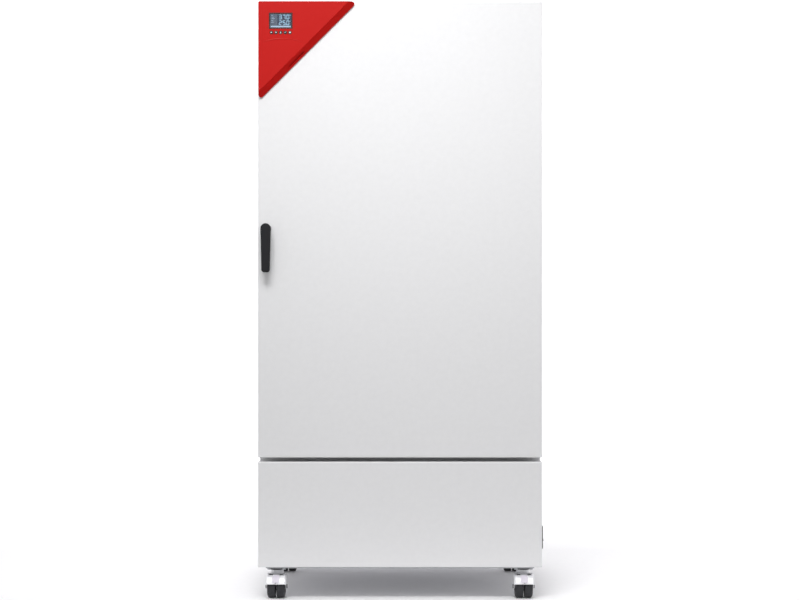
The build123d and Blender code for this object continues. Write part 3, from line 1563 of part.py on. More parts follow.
def castor_wheels(place):
    """Two wheels with rounded shoulders and dished sides on one axle with round heads."""
    profile_plane = Plane(
        origin=(place[0], place[1] - castor_trail, wheel_radius), x_dir=(1, 0, 0), z_dir=(0, -1, 0)
    )
    head_start = cheek_outer + seat_gap
    with BuildPart() as wheels:
        with BuildSketch(profile_plane):
            for side in (-1, 1):
                inner_x = side * wheel_split / 2
                outer_x = side * wheel_outer
                dish_x = side * (wheel_outer - wheel_dish_depth)
                shoulder_centre = (
                    outer_x - side * wheel_shoulder_radius, wheel_radius - wheel_shoulder_radius
                )
                with BuildLine():
                    Polyline(
                        (inner_x, 0),
                        (inner_x, wheel_radius - wheel_edge),
                        (inner_x + side * wheel_edge, wheel_radius),
                        *arc_points(
                            shoulder_centre, wheel_shoulder_radius, 90, 90 - side * 90, wheel_shoulder_chords
                        ),
                        (outer_x, wheel_dish_radius),
                        (dish_x, wheel_dish_radius),
                        (dish_x, fork_boss_radius),
                        (outer_x, fork_boss_radius),
                        (outer_x, 0),
                        close=True,
                    )
                make_face()
            rectangle_between((-head_start, 0), (head_start, axle_radius))
            for side in (-1, 1):
                with Locations((side * (head_start + axle_head_length / 2), axle_head_diameter / 4)):
                    Rectangle(axle_head_length, axle_head_diameter / 2)
        revolve(axis=Axis(profile_plane.origin, (1, 0, 0)))
    return wheels


def brake_pedal(place):
    """Oval tongue over the hood, carried by a web that runs between the wheels to a hub on the axle."""
    tongue_inner = hood_outer_radius + pedal_gap
    tongue_outer = tongue_inner + pedal_thickness
    with BuildPart() as pedal:
        with BuildSketch(castor_side_plane(place, -pedal_width / 2)):
            add(ring_sector(tongue_inner, tongue_outer, 180 - pedal_high_angle, 180 - pedal_low_angle))
        extrude(amount=pedal_width)
        box = pedal.part.bounding_box()
        with BuildSketch(front_plane(box.max.Y)):
            with Locations((place[0], (box.min.Z + box.max.Z) / 2)):
                Ellipse(pedal_width / 2, (box.max.Z - box.min.Z) * pedal_oval_share)
        extrude(amount=box.max.Y - box.min.Y, mode=Mode.INTERSECT)
        with BuildSketch(castor_side_plane(place, -pedal_web / 2)):
            web = ring_sector(
                axle_radius,
                tongue_inner + pedal_gap,
                180 - web_low_angle - pedal_web_angle,
                180 - web_low_angle,
            )
            add(web)
            Circle(pedal_hub_radius)
            Circle(axle_radius + slip_fit, mode=Mode.SUBTRACT)
        extrude(amount=pedal_web)
    return pedal


# Fixed parts of the castors: top plates with the swivel races.
with BuildPart() as castor_plates:
    with BuildSketch(Plane.XY.offset(castor_height)):
        with Locations(*castor_places.values()):
            Rectangle(castor_plate_width, castor_plate_length)
        chamfer(vertices(), castor_plate_corner)
        with Locations(*castor_places.values()):
            Circle(kingpin_diameter / 2 + slip_fit, mode=Mode.SUBTRACT)
    extrude(amount=-castor_plate_thickness)
    with BuildSketch(Plane.XY.offset(castor_height - castor_plate_thickness)):
        with Locations(*castor_places.values()):
            Circle(race_diameter / 2)
            Circle(kingpin_diameter / 2 + slip_fit, mode=Mode.SUBTRACT)
    extrude(amount=-race_height)
castor_plates.part.label = "castor_plates"
export_step(castor_plates.part, "parts/castor_plates.step")

for name, place in castor_places.items():
    has_pedal = name.startswith("front")
    fork = castor_fork(place, has_pedal)
    fork.part.label = f"{name}_castor_fork"
    export_step(fork.part, f"parts/{name}_castor_fork.step")
    wheels = castor_wheels(place)
    wheels.part.label = f"{name}_castor_wheels"
    export_step(wheels.part, f"parts/{name}_castor_wheels.step")
    if has_pedal:
        pedal = brake_pedal(place)
        pedal.part.label = f"{name}_brake_pedal"
        export_step(pedal.part, f"parts/{name}_brake_pedal.step")
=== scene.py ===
import json
import math

import bmesh
import bpy
from mathutils import Matrix, Vector


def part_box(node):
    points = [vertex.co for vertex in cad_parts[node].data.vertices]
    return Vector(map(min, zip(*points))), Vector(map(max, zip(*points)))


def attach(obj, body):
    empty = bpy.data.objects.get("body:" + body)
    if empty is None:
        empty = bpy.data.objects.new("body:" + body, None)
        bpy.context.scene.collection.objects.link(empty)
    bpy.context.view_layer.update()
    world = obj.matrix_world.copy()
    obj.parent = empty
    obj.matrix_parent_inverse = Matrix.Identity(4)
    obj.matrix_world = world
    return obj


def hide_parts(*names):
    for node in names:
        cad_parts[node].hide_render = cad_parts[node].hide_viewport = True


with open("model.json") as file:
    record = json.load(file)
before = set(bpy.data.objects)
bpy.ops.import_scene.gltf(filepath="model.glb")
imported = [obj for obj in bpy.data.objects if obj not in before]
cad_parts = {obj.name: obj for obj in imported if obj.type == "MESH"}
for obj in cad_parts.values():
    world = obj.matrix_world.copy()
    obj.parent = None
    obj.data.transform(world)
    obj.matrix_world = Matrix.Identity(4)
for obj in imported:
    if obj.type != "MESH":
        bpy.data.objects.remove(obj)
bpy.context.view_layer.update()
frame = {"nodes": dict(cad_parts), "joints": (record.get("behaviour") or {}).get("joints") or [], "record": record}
nodes = frame["nodes"]

# Camera, floor and light. Metres; the front of the cabinet faces -Y.

CAMERA_DISTANCE = 5.35
CAMERA_HEIGHT = 0.887
CAMERA_LENS = 74.0
CAMERA_SHIFT = 0.0335
SENSOR_WIDTH = 36.0
FLOOR_GREY = 0.18
FLOOR_GREY_END, FLOOR_WHITE_START = -1.0, -0.45
FLOOR_GLOW_START, FLOOR_GLOW_END = 0.8, 3.0
FLOOR_GLOW_NEAR, FLOOR_GLOW_FAR = 0.054, 0.68
SURROUND_STRENGTH = 0.601
LIGHTS = {
    "key": {"place": (-1.8, -4.6, 4.4), "target": (0.0, -0.3, 1.5), "size": (3.0, 2.2), "power": 18},
    "fill": {"place": (3.2, -4.2, 2.6), "target": (0.0, 0.0, 0.9), "size": (2.6, 2.6), "power": 10},
    "top": {"place": (0.0, 0.6, 5.6), "target": (0.0, 0.6, 0.0), "size": (6.0, 6.0), "power": 78},
    "crown": {"place": (-0.4, -2.4, 3.8), "target": (0.0, -0.38, 1.5), "size": (1.8, 0.8), "power": 12,
              "spread": 1.1},
}
door_face_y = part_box("door_skin")[0].y


def add_camera():
    """Level camera straight in front of the door."""
    data = bpy.data.cameras.new("camera")
    data.lens = CAMERA_LENS
    data.sensor_width = SENSOR_WIDTH
    data.shift_y = CAMERA_SHIFT
    camera = bpy.data.objects.new("camera", data)
    camera.location = (0.0, door_face_y - CAMERA_DISTANCE, CAMERA_HEIGHT)
    camera.rotation_euler = (math.radians(90), 0, 0)
    bpy.context.scene.collection.objects.link(camera)
    bpy.context.scene.camera = camera


def add_floor():
    """White floor that curves up into a lit backdrop far behind the cabinet."""
    half_width, front, back, bend, top = 14.0, -9.0, 7.0, 3.0, 9.0
    mesh = bmesh.new()
    outline = [(front, 0.0), (back, 0.0)]
    steps = 16
    for step in range(1, steps + 1):
        angle = math.pi / 2 * step / steps
        outline.append((back + bend * math.sin(angle), bend - bend * math.cos(angle)))
    outline.append((back + bend, top))
    rows = [[mesh.verts.new((x, y, z)) for x in (-half_width, half_width)] for y, z in outline]
    for low, high in zip(rows, rows[1:]):
        mesh.faces.new((low[0], low[1], high[1], high[0]))
    floor = link_mesh(mesh, "studio_floor")
    floor.data.materials.append(floor_material())


def floor_material():
    """Matt floor, grey in front of the cabinet, white beside it, glowing towards the backdrop."""
    material = surface("floor_white", (0.92, 0.915, 0.925), 0.6, grain=40, relief=0.0, specular=0.1)
    tree = material.node_tree
    shader = tree.nodes["Principled BSDF"]
    place = tree.nodes.new("ShaderNodeTexCoord")
    axes = tree.nodes.new("ShaderNodeSeparateXYZ")
    tree.links.new(place.outputs["Object"], axes.inputs["Vector"])
    ramps = {
        "Emission Strength": (FLOOR_GLOW_START, FLOOR_GLOW_END, FLOOR_GLOW_NEAR, FLOOR_GLOW_FAR),
        "whiteness": (FLOOR_GREY_END, FLOOR_WHITE_START, 0.0, 1.0),
    }
    levels = {}
    for name, (start, end, low, high) in ramps.items():
        ramp = tree.nodes.new("ShaderNodeMapRange")
        ramp.inputs["From Min"].default_value = start
        ramp.inputs["From Max"].default_value = end
        ramp.inputs["To Min"].default_value = low
        ramp.inputs["To Max"].default_value = high
        tree.links.new(axes.outputs["Y"], ramp.inputs["Value"])
        levels[name] = ramp.outputs["Result"]
    shader.inputs["Emission Color"].default_value = (0.97, 0.96, 1.0, 1.0)
    tree.links.new(levels["Emission Strength"], shader.inputs["Emission Strength"])
    paint = shader.inputs["Base Color"].links[0].from_socket
    shade = tree.nodes.new("ShaderNodeMix")
    shade.data_type = "RGBA"
    shade.inputs["A"].default_value = (FLOOR_GREY, FLOOR_GREY, FLOOR_GREY, 1.0)
    tree.links.new(paint, shade.inputs["B"])
    tree.links.new(levels["whiteness"], shade.inputs["Factor"])
    tree.links.new(shade.outputs["Result"], shader.inputs["Base Color"])
    return material


def add_area_light(name, place, target, size, power, spread=math.pi):
    """Rectangular soft box turned towards its target. Power is in watts, spread in radians."""
    data = bpy.data.lights.new(name, "AREA")
    data.shape = "RECTANGLE"
    data.size, data.size_y = size
    data.energy = power
    data.spread = spread
    light = bpy.data.objects.new(name, data)
    light.location = place
    light.rotation_euler = (Vector(target) - Vector(place)).to_track_quat("-Z", "Y").to_euler()
    bpy.context.scene.collection.objects.link(light)


def add_lights():
    """Soft boxes above and in front, one of them narrow and aimed at the door, in an even white surround."""
    world = bpy.data.worlds.new("studio")
    world.use_nodes = True
    background = world.node_tree.nodes["Background"]
    background.inputs["Color"].default_value = (1.0, 1.0, 1.0, 1.0)
    background.inputs["Strength"].default_value = SURROUND_STRENGTH
    bpy.context.scene.world = world
    for name, settings in LIGHTS.items():
        add_area_light(name, **settings)
    bpy.context.scene.view_settings.view_transform = "Standard"


# Materials. Every one varies with noise in its colour and its roughness, and all but the floor and the glass ones
# in their relief.


def surface(name, color, roughness, metallic=0.0, variation=0.03, grain=60.0, relief=0.05, relief_grain=None,
            stretch=(1, 1, 1), roughness_spread=0.06, specular=0.5, emission=0.0, transmission=0.0):
    """Principled material with noise-driven colour, roughness and relief. Grain is in cells per metre."""
    cloud_detail, pore_detail, pores_per_cloud, relief_depth = 4.0, 2.0, 8, 0.001
    material = bpy.data.materials.new(name)
    material.use_nodes = True
    tree = material.node_tree
    shader = tree.nodes["Principled BSDF"]
    shader.inputs["Metallic"].default_value = metallic
    shader.inputs["Specular IOR Level"].default_value = specular
    shader.inputs["Transmission Weight"].default_value = transmission
    if emission:
        shader.inputs["Emission Color"].default_value = (*color, 1.0)
        shader.inputs["Emission Strength"].default_value = emission
    place = tree.nodes.new("ShaderNodeTexCoord")
    mapping = tree.nodes.new("ShaderNodeMapping")
    mapping.inputs["Scale"].default_value = stretch
    tree.links.new(place.outputs["Object"], mapping.inputs["Vector"])

    clouds = tree.nodes.new("ShaderNodeTexNoise")
    clouds.inputs["Scale"].default_value = grain
    clouds.inputs["Detail"].default_value = cloud_detail
    tree.links.new(mapping.outputs["Vector"], clouds.inputs["Vector"])
    tone = tree.nodes.new("ShaderNodeMix")
    tone.data_type = "RGBA"
    tone.inputs["A"].default_value = (*[channel * (1 - variation) for channel in color], 1.0)
    tone.inputs["B"].default_value = (*[min(1.0, channel * (1 + variation)) for channel in color], 1.0)
    tree.links.new(clouds.outputs["Fac"], tone.inputs["Factor"])
    tree.links.new(tone.outputs["Result"], shader.inputs["Base Color"])

    gloss = tree.nodes.new("ShaderNodeMapRange")
    gloss.inputs["To Min"].default_value = max(0.02, roughness - roughness_spread)
    gloss.inputs["To Max"].default_value = min(1.0, roughness + roughness_spread)
    tree.links.new(clouds.outputs["Fac"], gloss.inputs["Value"])
    tree.links.new(gloss.outputs["Result"], shader.inputs["Roughness"])

    if relief:
        pores = tree.nodes.new("ShaderNodeTexNoise")
        pores.inputs["Scale"].default_value = relief_grain or grain * pores_per_cloud
        pores.inputs["Detail"].default_value = pore_detail
        tree.links.new(mapping.outputs["Vector"], pores.inputs["Vector"])
        bump = tree.nodes.new("ShaderNodeBump")
        bump.inputs["Strength"].default_value = relief
        bump.inputs["Distance"].default_value = relief_depth
        tree.links.new(pores.outputs["Fac"], bump.inputs["Height"])
        tree.links.new(bump.outputs["Normal"], shader.inputs["Normal"])
    return material


def link_mesh(mesh, name, smooth=True):
    """Turns a bmesh into a visible object of its own."""
    bmesh.ops.recalc_face_normals(mesh, faces=mesh.faces)
    data = bpy.data.meshes.new(name)
    mesh.to_mesh(data)
    mesh.free()
    for polygon in data.polygons:
        polygon.use_smooth = smooth
    piece = bpy.data.objects.new(name, data)
    bpy.context.scene.collection.objects.link(piece)
    return piece


add_camera()
add_floor()
add_lights()

looks = {
    "white_paint": surface("white_powder_coat", (0.83, 0.83, 0.84), 0.38, relief=0.10, relief_grain=900),
    "stainless": surface("brushed_stainless", (0.62, 0.63, 0.64), 0.34, metallic=1.0, grain=30, relief=0.12,
                         relief_grain=420, stretch=(1, 1, 0.03)),
    "zinc_plate": surface("zinc_plated_sheet", (0.55, 0.56, 0.58), 0.42, metallic=1.0, variation=0.12,
                          grain=90),
    "zinc_fork": surface("zinc_plated_pressing", (0.93, 0.93, 0.95), 0.36, metallic=0.25, grain=70),
    "hinge_steel": surface("satin_hinge_steel", (0.60, 0.61, 0.62), 0.33, metallic=1.0, grain=160),
    "rack_wire": surface("electropolished_wire", (0.72, 0.73, 0.74), 0.2, metallic=1.0, grain=120),
    "heater_steel": surface("annealed_heater_tube", (0.30, 0.26, 0.24), 0.42, metallic=1.0, variation=0.25,
                            grain=45),
    "motor_metal": surface("motor_casting", (0.22, 0.23, 0.25), 0.5, metallic=0.6, grain=200, relief=0.2),
    "light_alloy": surface("mill_aluminium", (0.70, 0.71, 0.72), 0.38, metallic=1.0, grain=120),
    "dark_sheet": surface("black_enamelled_sheet", (0.03, 0.03, 0.033), 0.42, grain=100, relief=0.1),
    "black_shell": surface("black_compressor_enamel", (0.012, 0.012, 0.014), 0.3, grain=80, relief=0.12),
    "pale_plastic": surface("pale_moulding", (0.70, 0.71, 0.72), 0.5, grain=150, relief=0.15,
                            relief_grain=1400),
    "foam": surface("rigid_foam", (0.72, 0.63, 0.40), 0.9, variation=0.12, grain=120, relief=0.5),
    "silicone": surface("translucent_silicone", (0.66, 0.66, 0.64), 0.55, grain=90, relief=0.08),
    "grey_rubber": surface("grey_seal_rubber", (0.16, 0.165, 0.175), 0.65, grain=180, relief=0.2),
    "black_plastic": surface("black_grained_moulding", (0.013, 0.013, 0.016), 0.45, grain=200, relief=0.25,
                             relief_grain=1600, specular=0.3),
    "dark_plastic": surface("anthracite_moulding", (0.03, 0.03, 0.033), 0.5, grain=200, relief=0.2),
    "red_plastic": surface("red_satin_moulding", (0.50, 0.006, 0.004), 0.34, grain=90, relief=0.04,
                           relief_grain=700, specular=0.22),
    "display_glass": surface("display_window_glass", (0.55, 0.62, 0.7), 0.06, relief=0.0, transmission=0.95),
    "button_black": surface("black_button_moulding", (0.012, 0.012, 0.013), 0.36, grain=300, relief=0.12),
    "clear_glass": surface("clear_float_glass", (0.93, 0.97, 0.95), 0.02, relief=0.0, roughness_spread=0.01,
                           transmission=1.0),
    "wheel_plastic": surface("black_nylon_wheel", (0.03, 0.03, 0.034), 0.5, grain=220, relief=0.2,
                             specular=0.3),
    "pedal_plastic": surface("grey_pedal_moulding", (0.74, 0.70, 0.78), 0.48, grain=160, relief=0.15),
}

for entry in frame["record"]["subparts"]:
    look = looks[entry["material_slot"]]
    node = nodes[entry["node"]]
    node.data.materials.clear()
    node.data.materials.append(look)

# Mesh tools.


def add_piece(mesh, name, body, slot_name, look=None, smooth=True):
    """Links a finished bmesh as a piece that moves with a body and takes its finish from a record slot."""
    piece = link_mesh(mesh, name, smooth)
    piece.data.materials.append(look or looks[slot_name])
    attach(piece, body)
    return piece


def frame_from(normal):
    """Rotation whose Z is the normal and whose Y is as near as possible to upright."""
    z_axis = Vector(normal).normalized()
    x_axis = Vector((0, 0, 1)).cross(z_axis)
    if x_axis.length < 1e-6:
        x_axis = Vector((1, 0, 0))
    x_axis.normalize()
    y_axis = z_axis.cross(x_axis)
    return Matrix((x_axis, y_axis, z_axis)).transposed().to_4x4()


def bridge_rings(mesh, rings, closed_along=False):
    """Faces between neighbouring rings of as many vertices each."""
    pairs = list(zip(rings, rings[1:]))
    if closed_along:
        pairs.append((rings[-1], rings[0]))
    for low, high in pairs:
        count = len(low)
        for index in range(count):
            after = (index + 1) % count
            mesh.faces.new((low[index], low[after], high[after], high[index]))


def lathe(mesh, profile, place, normal, segments):
    """Solid of revolution about the normal through place. The profile is (radius, height) from end to end, and an
    end at radius 0 closes to a point."""
    turn = Matrix.Translation(place) @ frame_from(normal)
    rings = []
    tips = {}
    for index, (radius, height) in enumerate(profile):
        if radius < 1e-7:
            tips[index] = mesh.verts.new(turn @ Vector((0, 0, height)))
            rings.append(None)
            continue
        ring = []
        for step in range(segments):
            angle = 2 * math.pi * step / segments
            x, y = radius * math.cos(angle), radius * math.sin(angle)
            ring.append(mesh.verts.new(turn @ Vector((x, y, height))))
        rings.append(ring)
    for index, (low, high) in enumerate(zip(rings, rings[1:])):
        if low and high:
            bridge_rings(mesh, [low, high])
        elif low or high:
            tip = tips[index] if low is None else tips[index + 1]
            ring = low or high
            for step in range(segments):
                mesh.faces.new((ring[step], ring[(step + 1) % segments], tip))


def screw(mesh, place, normal, radius, height):
    """Pan head with a six-sided recess."""
    turn = Matrix.Translation(place) @ frame_from(normal)
    segments = 24
    recess_radius = radius * 0.5
    recess_half_side = math.pi / 6
    layers = [(radius, 0.0), (radius, height * 0.45), (radius * 0.86, height * 0.85), (radius * 0.62, height)]
    rings = []
    for ring_radius, level in layers:
        rings.append([
            mesh.verts.new(turn @ Vector((ring_radius * math.cos(2 * math.pi * step / segments),
                                          ring_radius * math.sin(2 * math.pi * step / segments), level)))
            for step in range(segments)
        ])
    for level in (height * 0.98, height * 0.25):
        ring = []
        for step in range(segments):
            angle = 2 * math.pi * step / segments
            wedge = (angle % (2 * recess_half_side)) - recess_half_side
            reach = recess_radius * math.cos(recess_half_side) / math.cos(wedge)
            x, y = reach * math.cos(angle), reach * math.sin(angle)
            ring.append(mesh.verts.new(turn @ Vector((x, y, level))))
        rings.append(ring)
    bridge_rings(mesh, rings)
    mesh.faces.new(rings[-1])
    mesh.faces.new(list(reversed(rings[0])))


def screws(name, body, places, normal, radius, height, slot_name="hinge_steel"):
    """A group of like screws on one body."""
    mesh = bmesh.new()
    for place in places:
        screw(mesh, place, normal, radius, height)
    return add_piece(mesh, name, body, slot_name)


def bar(mesh, low, high, edge):
    """Box between two corners with softened edges."""
    low, high = Vector(low), Vector(high)
    made = bmesh.ops.create_cube(mesh, size=1.0)
    bmesh.ops.scale(mesh, vec=high - low, verts=made["verts"])
    bmesh.ops.translate(mesh, vec=(low + high) / 2, verts=made["verts"])
    if edge:
        edges = list({e for v in made["verts"] for e in v.link_edges})
        bmesh.ops.bevel(mesh, geom=edges, offset=edge, segments=2, affect="EDGES", profile=0.5)


def ring_profile(mesh, profile, middle, half_width, half_height, radius):
    """Carries a closed profile round an upright rounded rectangle. Profile points are (outwards, y)."""
    rings = []
    for x, z, out_x, out_z in rounded_path(half_width, half_height, radius):
        rings.append([
            mesh.verts.new((middle[0] + x + out_x * out, y, middle[1] + z + out_z * out))
            for out, y in profile
        ])
    bridge_rings(mesh, rings, closed_along=True)


def rounded_path(half_width, half_height, radius):
    """Places and outward directions round a rounded rectangle."""
    corner_steps = 8
    path = []
    for sign_x, sign_z, start in ((1, 1, 0), (-1, 1, 90), (-1, -1, 180), (1, -1, 270)):
        for step in range(corner_steps + 1):
            angle = math.radians(start + 90 * step / corner_steps)
            out_x, out_z = math.cos(angle), math.sin(angle)
            path.append((sign_x * (half_width - radius) + radius * out_x,
                         sign_z * (half_height - radius) + radius * out_z, out_x, out_z))
    return path


# Seals and the plug: the soft parts of the cabinet.


def make_door_gasket():
    """Magnetic gasket: a foot on the liner, a bellows fold and a magnet pocket that meets the cabinet."""
    low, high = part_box("door_gasket")
    foot_y, lip_y = low.y, high.y
    depth = lip_y - foot_y
    band, corner_radius, pocket_dip = 0.016, 0.011, 0.0004
    middle = ((low.x + high.x) / 2, (low.z + high.z) / 2)
    half = band / 2
    profile = [
        (-half * 0.80, foot_y), (half * 0.80, foot_y), (half * 0.98, foot_y + depth * 0.10),
        (half * 0.62, foot_y + depth * 0.22), (half * 0.98, foot_y + depth * 0.36),
        (half * 0.70, foot_y + depth * 0.50), (half * 0.98, foot_y + depth * 0.64),
        (half * 0.98, lip_y - depth * 0.10), (half * 0.86, lip_y), (half * 0.10, lip_y - pocket_dip),
        (-half * 0.86, lip_y), (-half * 0.98, lip_y - depth * 0.10), (-half * 0.98, foot_y + depth * 0.64),
        (-half * 0.70, foot_y + depth * 0.50), (-half * 0.98, foot_y + depth * 0.36),
        (-half * 0.62, foot_y + depth * 0.22), (-half * 0.98, foot_y + depth * 0.10),
    ]
    mesh = bmesh.new()
    half_width, half_height = (high.x - low.x) / 2 - half, (high.z - low.z) / 2 - half
    ring_profile(mesh, profile, middle, half_width, half_height, corner_radius)
    gasket = add_piece(mesh, "door_gasket_profile", "outer_door", "grey_rubber")
    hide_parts("door_gasket")


def make_glass_seal():
    """Lip seal glued to the back of the glass: a flat foot with two lips towards the frame."""
    low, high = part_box("glass_seal")
    band, corner_radius = 0.008, 0.007
    depth = high.y - low.y
    half = band / 2
    profile = [
        (-half, low.y), (half, low.y), (half, low.y + depth * 0.3), (half * 0.9, high.y),
        (half * 0.55, high.y), (half * 0.35, low.y + depth * 0.35), (-half * 0.35, low.y + depth * 0.35),
        (-half * 0.55, high.y), (-half * 0.9, high.y), (-half, low.y + depth * 0.3),
    ]
    mesh = bmesh.new()
    middle = ((low.x + high.x) / 2, (low.z + high.z) / 2)
    half_width, half_height = (high.x - low.x) / 2 - half, (high.z - low.z) / 2 - half
    ring_profile(mesh, profile, middle, half_width, half_height, corner_radius)
    seal = add_piece(mesh, "glass_seal_profile", "inner_door", "grey_rubber")
    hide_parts("glass_seal")


def make_port_plug():
    """Tapered silicone plug with a domed head, a finger groove and sealing rings on its stem."""
    low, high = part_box("access_port_plug")
    place = Vector((high.x, (low.y + high.y) / 2, (low.z + high.z) / 2))
    length = high.x - low.x
    head, head_thickness, stem, taper = 0.022, 0.008, 0.0147, 0.0009
    ring_count, first_ring, ring_pitch, ring_rise = 4, 0.012, 0.014, 0.0008
    profile = [(0, 0), (0.011, 0.0), (0.0134, 0.0012), (0.0138, 0.004)]
    for ring in range(ring_count):
        start = first_ring + ring * ring_pitch
        radius = stem - taper * (1 - start / length)
        profile += [(radius - ring_rise, start), (radius, start + 0.002), (radius, start + 0.005),
                    (radius - ring_rise, start + 0.007)]
    neck = length - head_thickness
    profile += [(stem - 0.0006, neck - 0.001), (stem + 0.0004, neck), (head - 0.0012, neck),
                (head, neck + 0.0012), (head, neck + 0.0030), (head - 0.0016, neck + 0.0040),
                (head - 0.0006, neck + 0.0052), (head - 0.0012, neck + 0.0064), (head - 0.0045, neck + 0.0077),
                (head * 0.45, length), (0, length)]
    mesh = bmesh.new()
    lathe(mesh, profile, place, (-1, 0, 0), 48)
    plug = add_piece(mesh, "port_plug_body", "port_plug", "silicone")
    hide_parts("access_port_plug")


# Control panel: screen, digits, button symbols and the raised arc below them.

SEGMENTS = {
    "0": "abcdef", "1": "bc", "2": "abdeg", "3": "abcdg", "4": "bcfg",
    "5": "acdfg", "6": "acdefg", "7": "abc", "8": "abcdefg", "9": "abcdfg",
}


def digit_bars(figure, width, height, stroke):
    """Bars of a seven-segment figure as (low x, low z, high x, high z), from its low left corner."""
    middle = height / 2
    gap = stroke * 0.18
    bars = {
        "a": (stroke * 0.6, height - stroke, width - stroke * 0.6, height),
        "b": (width - stroke, middle + gap, width, height - stroke * 0.6),
        "c": (width - stroke, stroke * 0.6, width, middle - gap),
        "d": (stroke * 0.6, 0, width - stroke * 0.6, stroke),
        "e": (0, stroke * 0.6, stroke, middle - gap),
        "f": (0, middle + gap, stroke, height - stroke * 0.6),
        "g": (stroke * 0.6, middle - stroke / 2, width - stroke * 0.6, middle + stroke / 2),
    }
    return [bars[name] for name in SEGMENTS[figure]]


def make_screen():
    """Liquid crystal module behind the window, with two rows of figures, a scale and a status bar."""
    low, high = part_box("display_window")
    window_gap, margin, module_depth, soft_edge = 0.0003, 0.0028, 0.0035, 0.0003
    figure_lift, field_lift, status_lift, scale_lift = 0.00012, 0.00008, 0.0001, 0.0002
    front = high.y + window_gap
    left, right = low.x + margin, high.x - margin
    foot, head = low.z + margin, high.z - margin
    back_plane = surface("screen_blue_black", (0.035, 0.05, 0.10), 0.35, variation=0.25, grain=2600,
                         emission=0.35)
    grey_plane = surface("screen_grey_field", (0.15, 0.165, 0.21), 0.35, variation=0.2, grain=2600,
                         emission=0.5)
    lit_plane = surface("screen_lit_segments", (0.62, 0.86, 0.95), 0.3, variation=0.04, grain=1500,
                        emission=0.85)
    bar_plane = surface("screen_status_bar", (0.80, 0.88, 0.95), 0.3, variation=0.04, grain=1500,
                        emission=0.8)

    mesh = bmesh.new()
    bar(mesh, (left, front, foot), (right, front + module_depth, head), soft_edge)
    add_piece(mesh, "screen_module", "outer_door", "display_glass", back_plane, smooth=False)

    field_share, field_inset, field_foot = 0.33, 0.0008, 0.0072
    field_right = left + (right - left) * field_share
    mesh = bmesh.new()
    bar(mesh, (left + field_inset, front - field_lift, foot + field_foot),
        (field_right, front, head - field_inset), 0)
    add_piece(mesh, "screen_field", "outer_door", "display_glass", grey_plane, smooth=False)

    mesh = bmesh.new()
    width, height, stroke, pitch = 0.0092, 0.0150, 0.0021, 0.0122
    row_head_margin, row_foot_margin, row_side_margin = 0.0018, 0.0078, 0.0062
    point_start, point_size, point_place = 0.0006, 0.0018, 1
    degree_side_margin, degree_drop, degree_radius, degree_dots, dot_half = 0.0034, 0.0020, 0.0014, 8, 0.0004
    upper, lower = head - row_head_margin - height, foot + row_foot_margin
    for row_z, figures in ((upper, "370"), (lower, "250")):
        for index, figure in enumerate(figures):
            start = right - row_side_margin - pitch * (len(figures) - index) + (pitch - width)
            for bar_low_x, bar_low_z, bar_high_x, bar_high_z in digit_bars(figure, width, height, stroke):
                bar(mesh, (start + bar_low_x, front - figure_lift, row_z + bar_low_z),
                    (start + bar_high_x, front, row_z + bar_high_z), 0)
            if index == point_place:
                point_x = start + width + point_start
                bar(mesh, (point_x, front - figure_lift, row_z),
                    (point_x + point_size, front, row_z + point_size), 0)
        ring_x, ring_z = right - degree_side_margin, row_z + height - degree_drop
        for step in range(degree_dots):
            angle = 2 * math.pi * step / degree_dots
            x, z = ring_x + degree_radius * math.cos(angle), ring_z + degree_radius * math.sin(angle)
            bar(mesh, (x - dot_half, front - figure_lift, z - dot_half),
                (x + dot_half, front, z + dot_half), 0)
    add_piece(mesh, "screen_figures", "outer_door", "display_glass", lit_plane, smooth=False)

    mesh = bmesh.new()
    status_inset, status_head = 0.0010, 0.0056
    scale_rows, scale_top, scale_pitch, scale_start, scale_half = 5, 0.0040, 0.0055, 0.0030, 0.0006
    shortest_mark, mark_step, mark_lengths = 0.006, 0.0025, 3
    bar(mesh, (left + status_inset, front - status_lift, foot + status_inset),
        (right - status_inset, front, foot + status_head), 0)
    for row in range(scale_rows):
        z = head - scale_top - row * scale_pitch
        reach = shortest_mark + mark_step * (row % mark_lengths)
        bar(mesh, (left + scale_start, front - scale_lift, z - scale_half),
            (left + scale_start + reach, front - field_lift, z + scale_half), 0)
    add_piece(mesh, "screen_status", "outer_door", "display_glass", bar_plane, smooth=False)

    mesh = bmesh.new()
    bezel, bezel_rise, bezel_depth, bezel_edge = 0.0016, 0.0003, 0.0002, 0.0002
    sides = (
        (low.x - bezel, low.z - bezel, high.x + bezel, low.z),
        (low.x - bezel, high.z, high.x + bezel, high.z + bezel),
        (low.x - bezel, low.z, low.x, high.z),
        (high.x, low.z, high.x + bezel, high.z),
    )
    for low_x, low_z, high_x, high_z in sides:
        bar(mesh, (low_x, low.y - bezel_rise, low_z), (high_x, low.y + bezel_depth, high_z), bezel_edge)
    add_piece(mesh, "screen_bezel", "outer_door", "button_black", smooth=False)


def flat_shape(mesh, points, front, thickness):
    """Thin plate with the given outline in the upright plane; its face is at y = front."""
    face = [mesh.verts.new((x, front, z)) for x, z in points]
    back = [mesh.verts.new((x, front + thickness, z)) for x, z in points]
    count = len(points)
    mesh.faces.new(face)
    mesh.faces.new(list(reversed(back)))
    for index in range(count):
        after = (index + 1) % count
        mesh.faces.new((face[index], back[index], back[after], face[after]))


